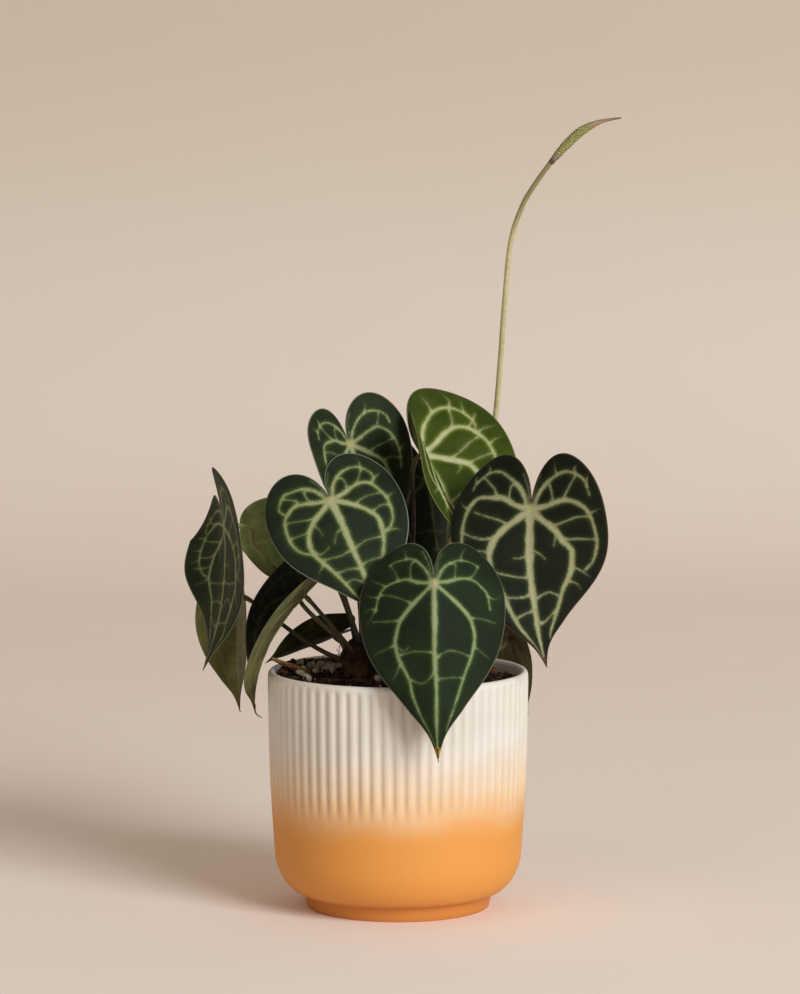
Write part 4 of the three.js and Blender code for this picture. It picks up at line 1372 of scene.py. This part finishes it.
def scale_height(share, angle):
    """0 in the gaps between the florets, 1 on their backs: low rows that wind and break."""
    row = share * SCALE_ROWS + 0.42 * np.sin(2 * angle + 9 * share) + 0.16 * np.sin(5 * angle + 2)
    lobe = np.abs(np.sin(math.pi * row)) ** 0.6
    gap = np.abs(np.sin(4 * angle + math.pi * np.floor(row) / 2 + 0.4)) ** 0.35
    return lobe * (0.35 + 0.65 * gap)


def spike_finish():
    def draw(t):
        way, back = t.attribute("way"), t.attribute("back")
        mottle = t.noise(1.3, 3.0, 0.6)
        green = t.blend("#7a7a3c", "#a59f66", t.step(mottle, 0.35, 0.65))
        rose = t.blend("#85694f", "#a48a70", t.step(mottle, 0.35, 0.65))
        colour = t.blend(green, rose, t.step(way + (mottle - 0.5) * 0.14, 0.50, 0.66))
        colour = t.blend(colour, rose, t.step(way + (mottle - 0.5) * 0.08, 0.15, 0.05))
        scaly = t.step(way, 0.68, 0.58)
        # painted shade in the gaps between the florets, and a painted highlight on their backs
        colour = t.blend(colour, "#56482a", t.step(back, 0.62, 0.25) * scaly * 0.8)
        colour = t.blend(colour, "#c0b586", t.step(back, 0.86, 1.0) * scaly * 0.35)
        colour = t.blend(colour, "#5f4434", t.step(way, 0.80, 0.97))
        return {"Base Color": colour, "Roughness": 0.55 + mottle * 0.15, "Bump": (mottle, 0.1)}

    return finish("spike_scales", draw, Specular_IOR_Level=0.35)


def spike():
    """The core of the spike with its florets pressed out of it as one surface."""
    line = smooth_line(SPIKE_LINE, 0.14)
    t = np.linspace(0, 1, len(line))
    side, up = frames(line, [0, 1, 0])
    columns = 72
    angle = turns(columns)
    points, way, back = [], [], []
    for k, share in enumerate(t):
        floret = scale_height(share, angle)
        deep = 0.6 * min(1, max(0, (SCALES_END - share) / 0.12)) * min(1, share / 0.03)
        r = np.interp(share, *zip(*SPIKE_SHAPE)) + deep * (floret - 0.62)
        for a, radius in zip(angle, r):
            points.append(line[k] + side[k] * radius * math.cos(a) + up[k] * radius * math.sin(a))
        way += [share] * columns
        back += list(floret)
    return points, tube_faces(len(line), columns), {"way": way, "back": back}


points, faces, values = spike()
core = solid_piece("flower_spike", points, faces, spike_finish(), values)
settle(core, "spadix", "spadix")


# %% [markdown]
# ## Floor, light and camera
# A seamless sheet serves as floor and background. A broad, low lamp at the front right gives
# the soft key, and the pale surroundings fill the shadows. The camera has a long lens and looks
# slightly down, as in the photograph.

# %% The sheet, the lamps and the view
def backdrop():
    """The sheet's front edge, its sweep up behind the pot and its upper edge, in millimetres."""
    profile = [(-2600, 0), (1300, 0)]
    for k in range(1, 13):
        a = math.pi / 2 * k / 12
        profile.append((1300 + 900 * math.sin(a), 900 - 900 * math.cos(a)))
    profile.append((2200, 3600))
    points = [(x, y, z) for y, z in profile for x in (-3500, 3500)]
    faces = [(2 * i, 2 * i + 1, 2 * i + 3, 2 * i + 2) for i in range(len(profile) - 1)]
    return points, faces


def paper_finish():
    def draw(t):
        tone = t.noise(160, 3.0)
        colour = t.blend("#f7e8de", "#f3e3d8", tone)
        # painted shade: the sheet darkens upwards, where less lamp light reaches it
        colour = t.blend(colour, "#d6c6b3", t.step(t.where_mm()[2], 20, 550))
        return {"Base Color": colour, "Roughness": 0.8 + tone * 0.1}

    return finish("backdrop_paper", draw, Specular_IOR_Level=0.2)


points, faces = backdrop()
sheet = solid_piece("backdrop", points, faces, paper_finish())
sheet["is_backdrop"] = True


def lamp(name, at, target, width, power, colour):
    """A round lamp that faces its target. Places and width are in metres, power in watts."""
    light = bpy.data.lights.new(name, "AREA")
    light.shape = "DISK"
    light.size = width
    light.energy = power
    light.color = colour
    holder = put(name, light)
    holder.location = at
    direction = Vector(target) - Vector(at)
    holder.rotation_euler = direction.to_track_quat("-Z", "Y").to_euler()


lamp("key", (3.0, -3.68, 2.25), (0, 0, 0.15), 2.8, 262, (0.90, 0.97, 1.0))
lamp("fill", (-1.6, -1.9, 1.6), (0, 0, 0.2), 1.8, 6, (1.0, 0.95, 0.88))
world = bpy.data.worlds.new("soft_room")
world.use_nodes = True
room = world.node_tree.nodes["Background"].inputs
room["Color"].default_value = (1.0, 0.90, 0.78, 1.0)
room["Strength"].default_value = 0.31
bpy.context.scene.world = world

EYE_MM = (1.06, -2206.31, 443.84)
LOOKS_DOWN = 5.76  # below level, in degrees
lens = bpy.data.cameras.new("photo_lens")
lens.lens = 150
lens.sensor_width = 36
lens.clip_end = 20
camera = put("photo_camera", lens)
camera.location = [v * MM for v in EYE_MM]
camera.rotation_euler = (math.radians(90 - LOOKS_DOWN), 0, 0)
bpy.context.scene.camera = camera
bpy.context.scene.view_settings.view_transform = "Standard"

# %% Sizes, and the end
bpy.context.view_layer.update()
for axis, label in enumerate("xyz"):
    for end, pick in enumerate((min, max)):
        reached = {o.name: pick((o.matrix_world @ Vector(c))[axis] for c in o.bound_box)
                   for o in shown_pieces()}
        name = pick(reached, key=reached.get)
        over = (reached[name] - cad_box[end][axis]) / MM
        print(f"{'-+'[end]}{label}: {name} ends {over:+.3f} mm from the solids' end")
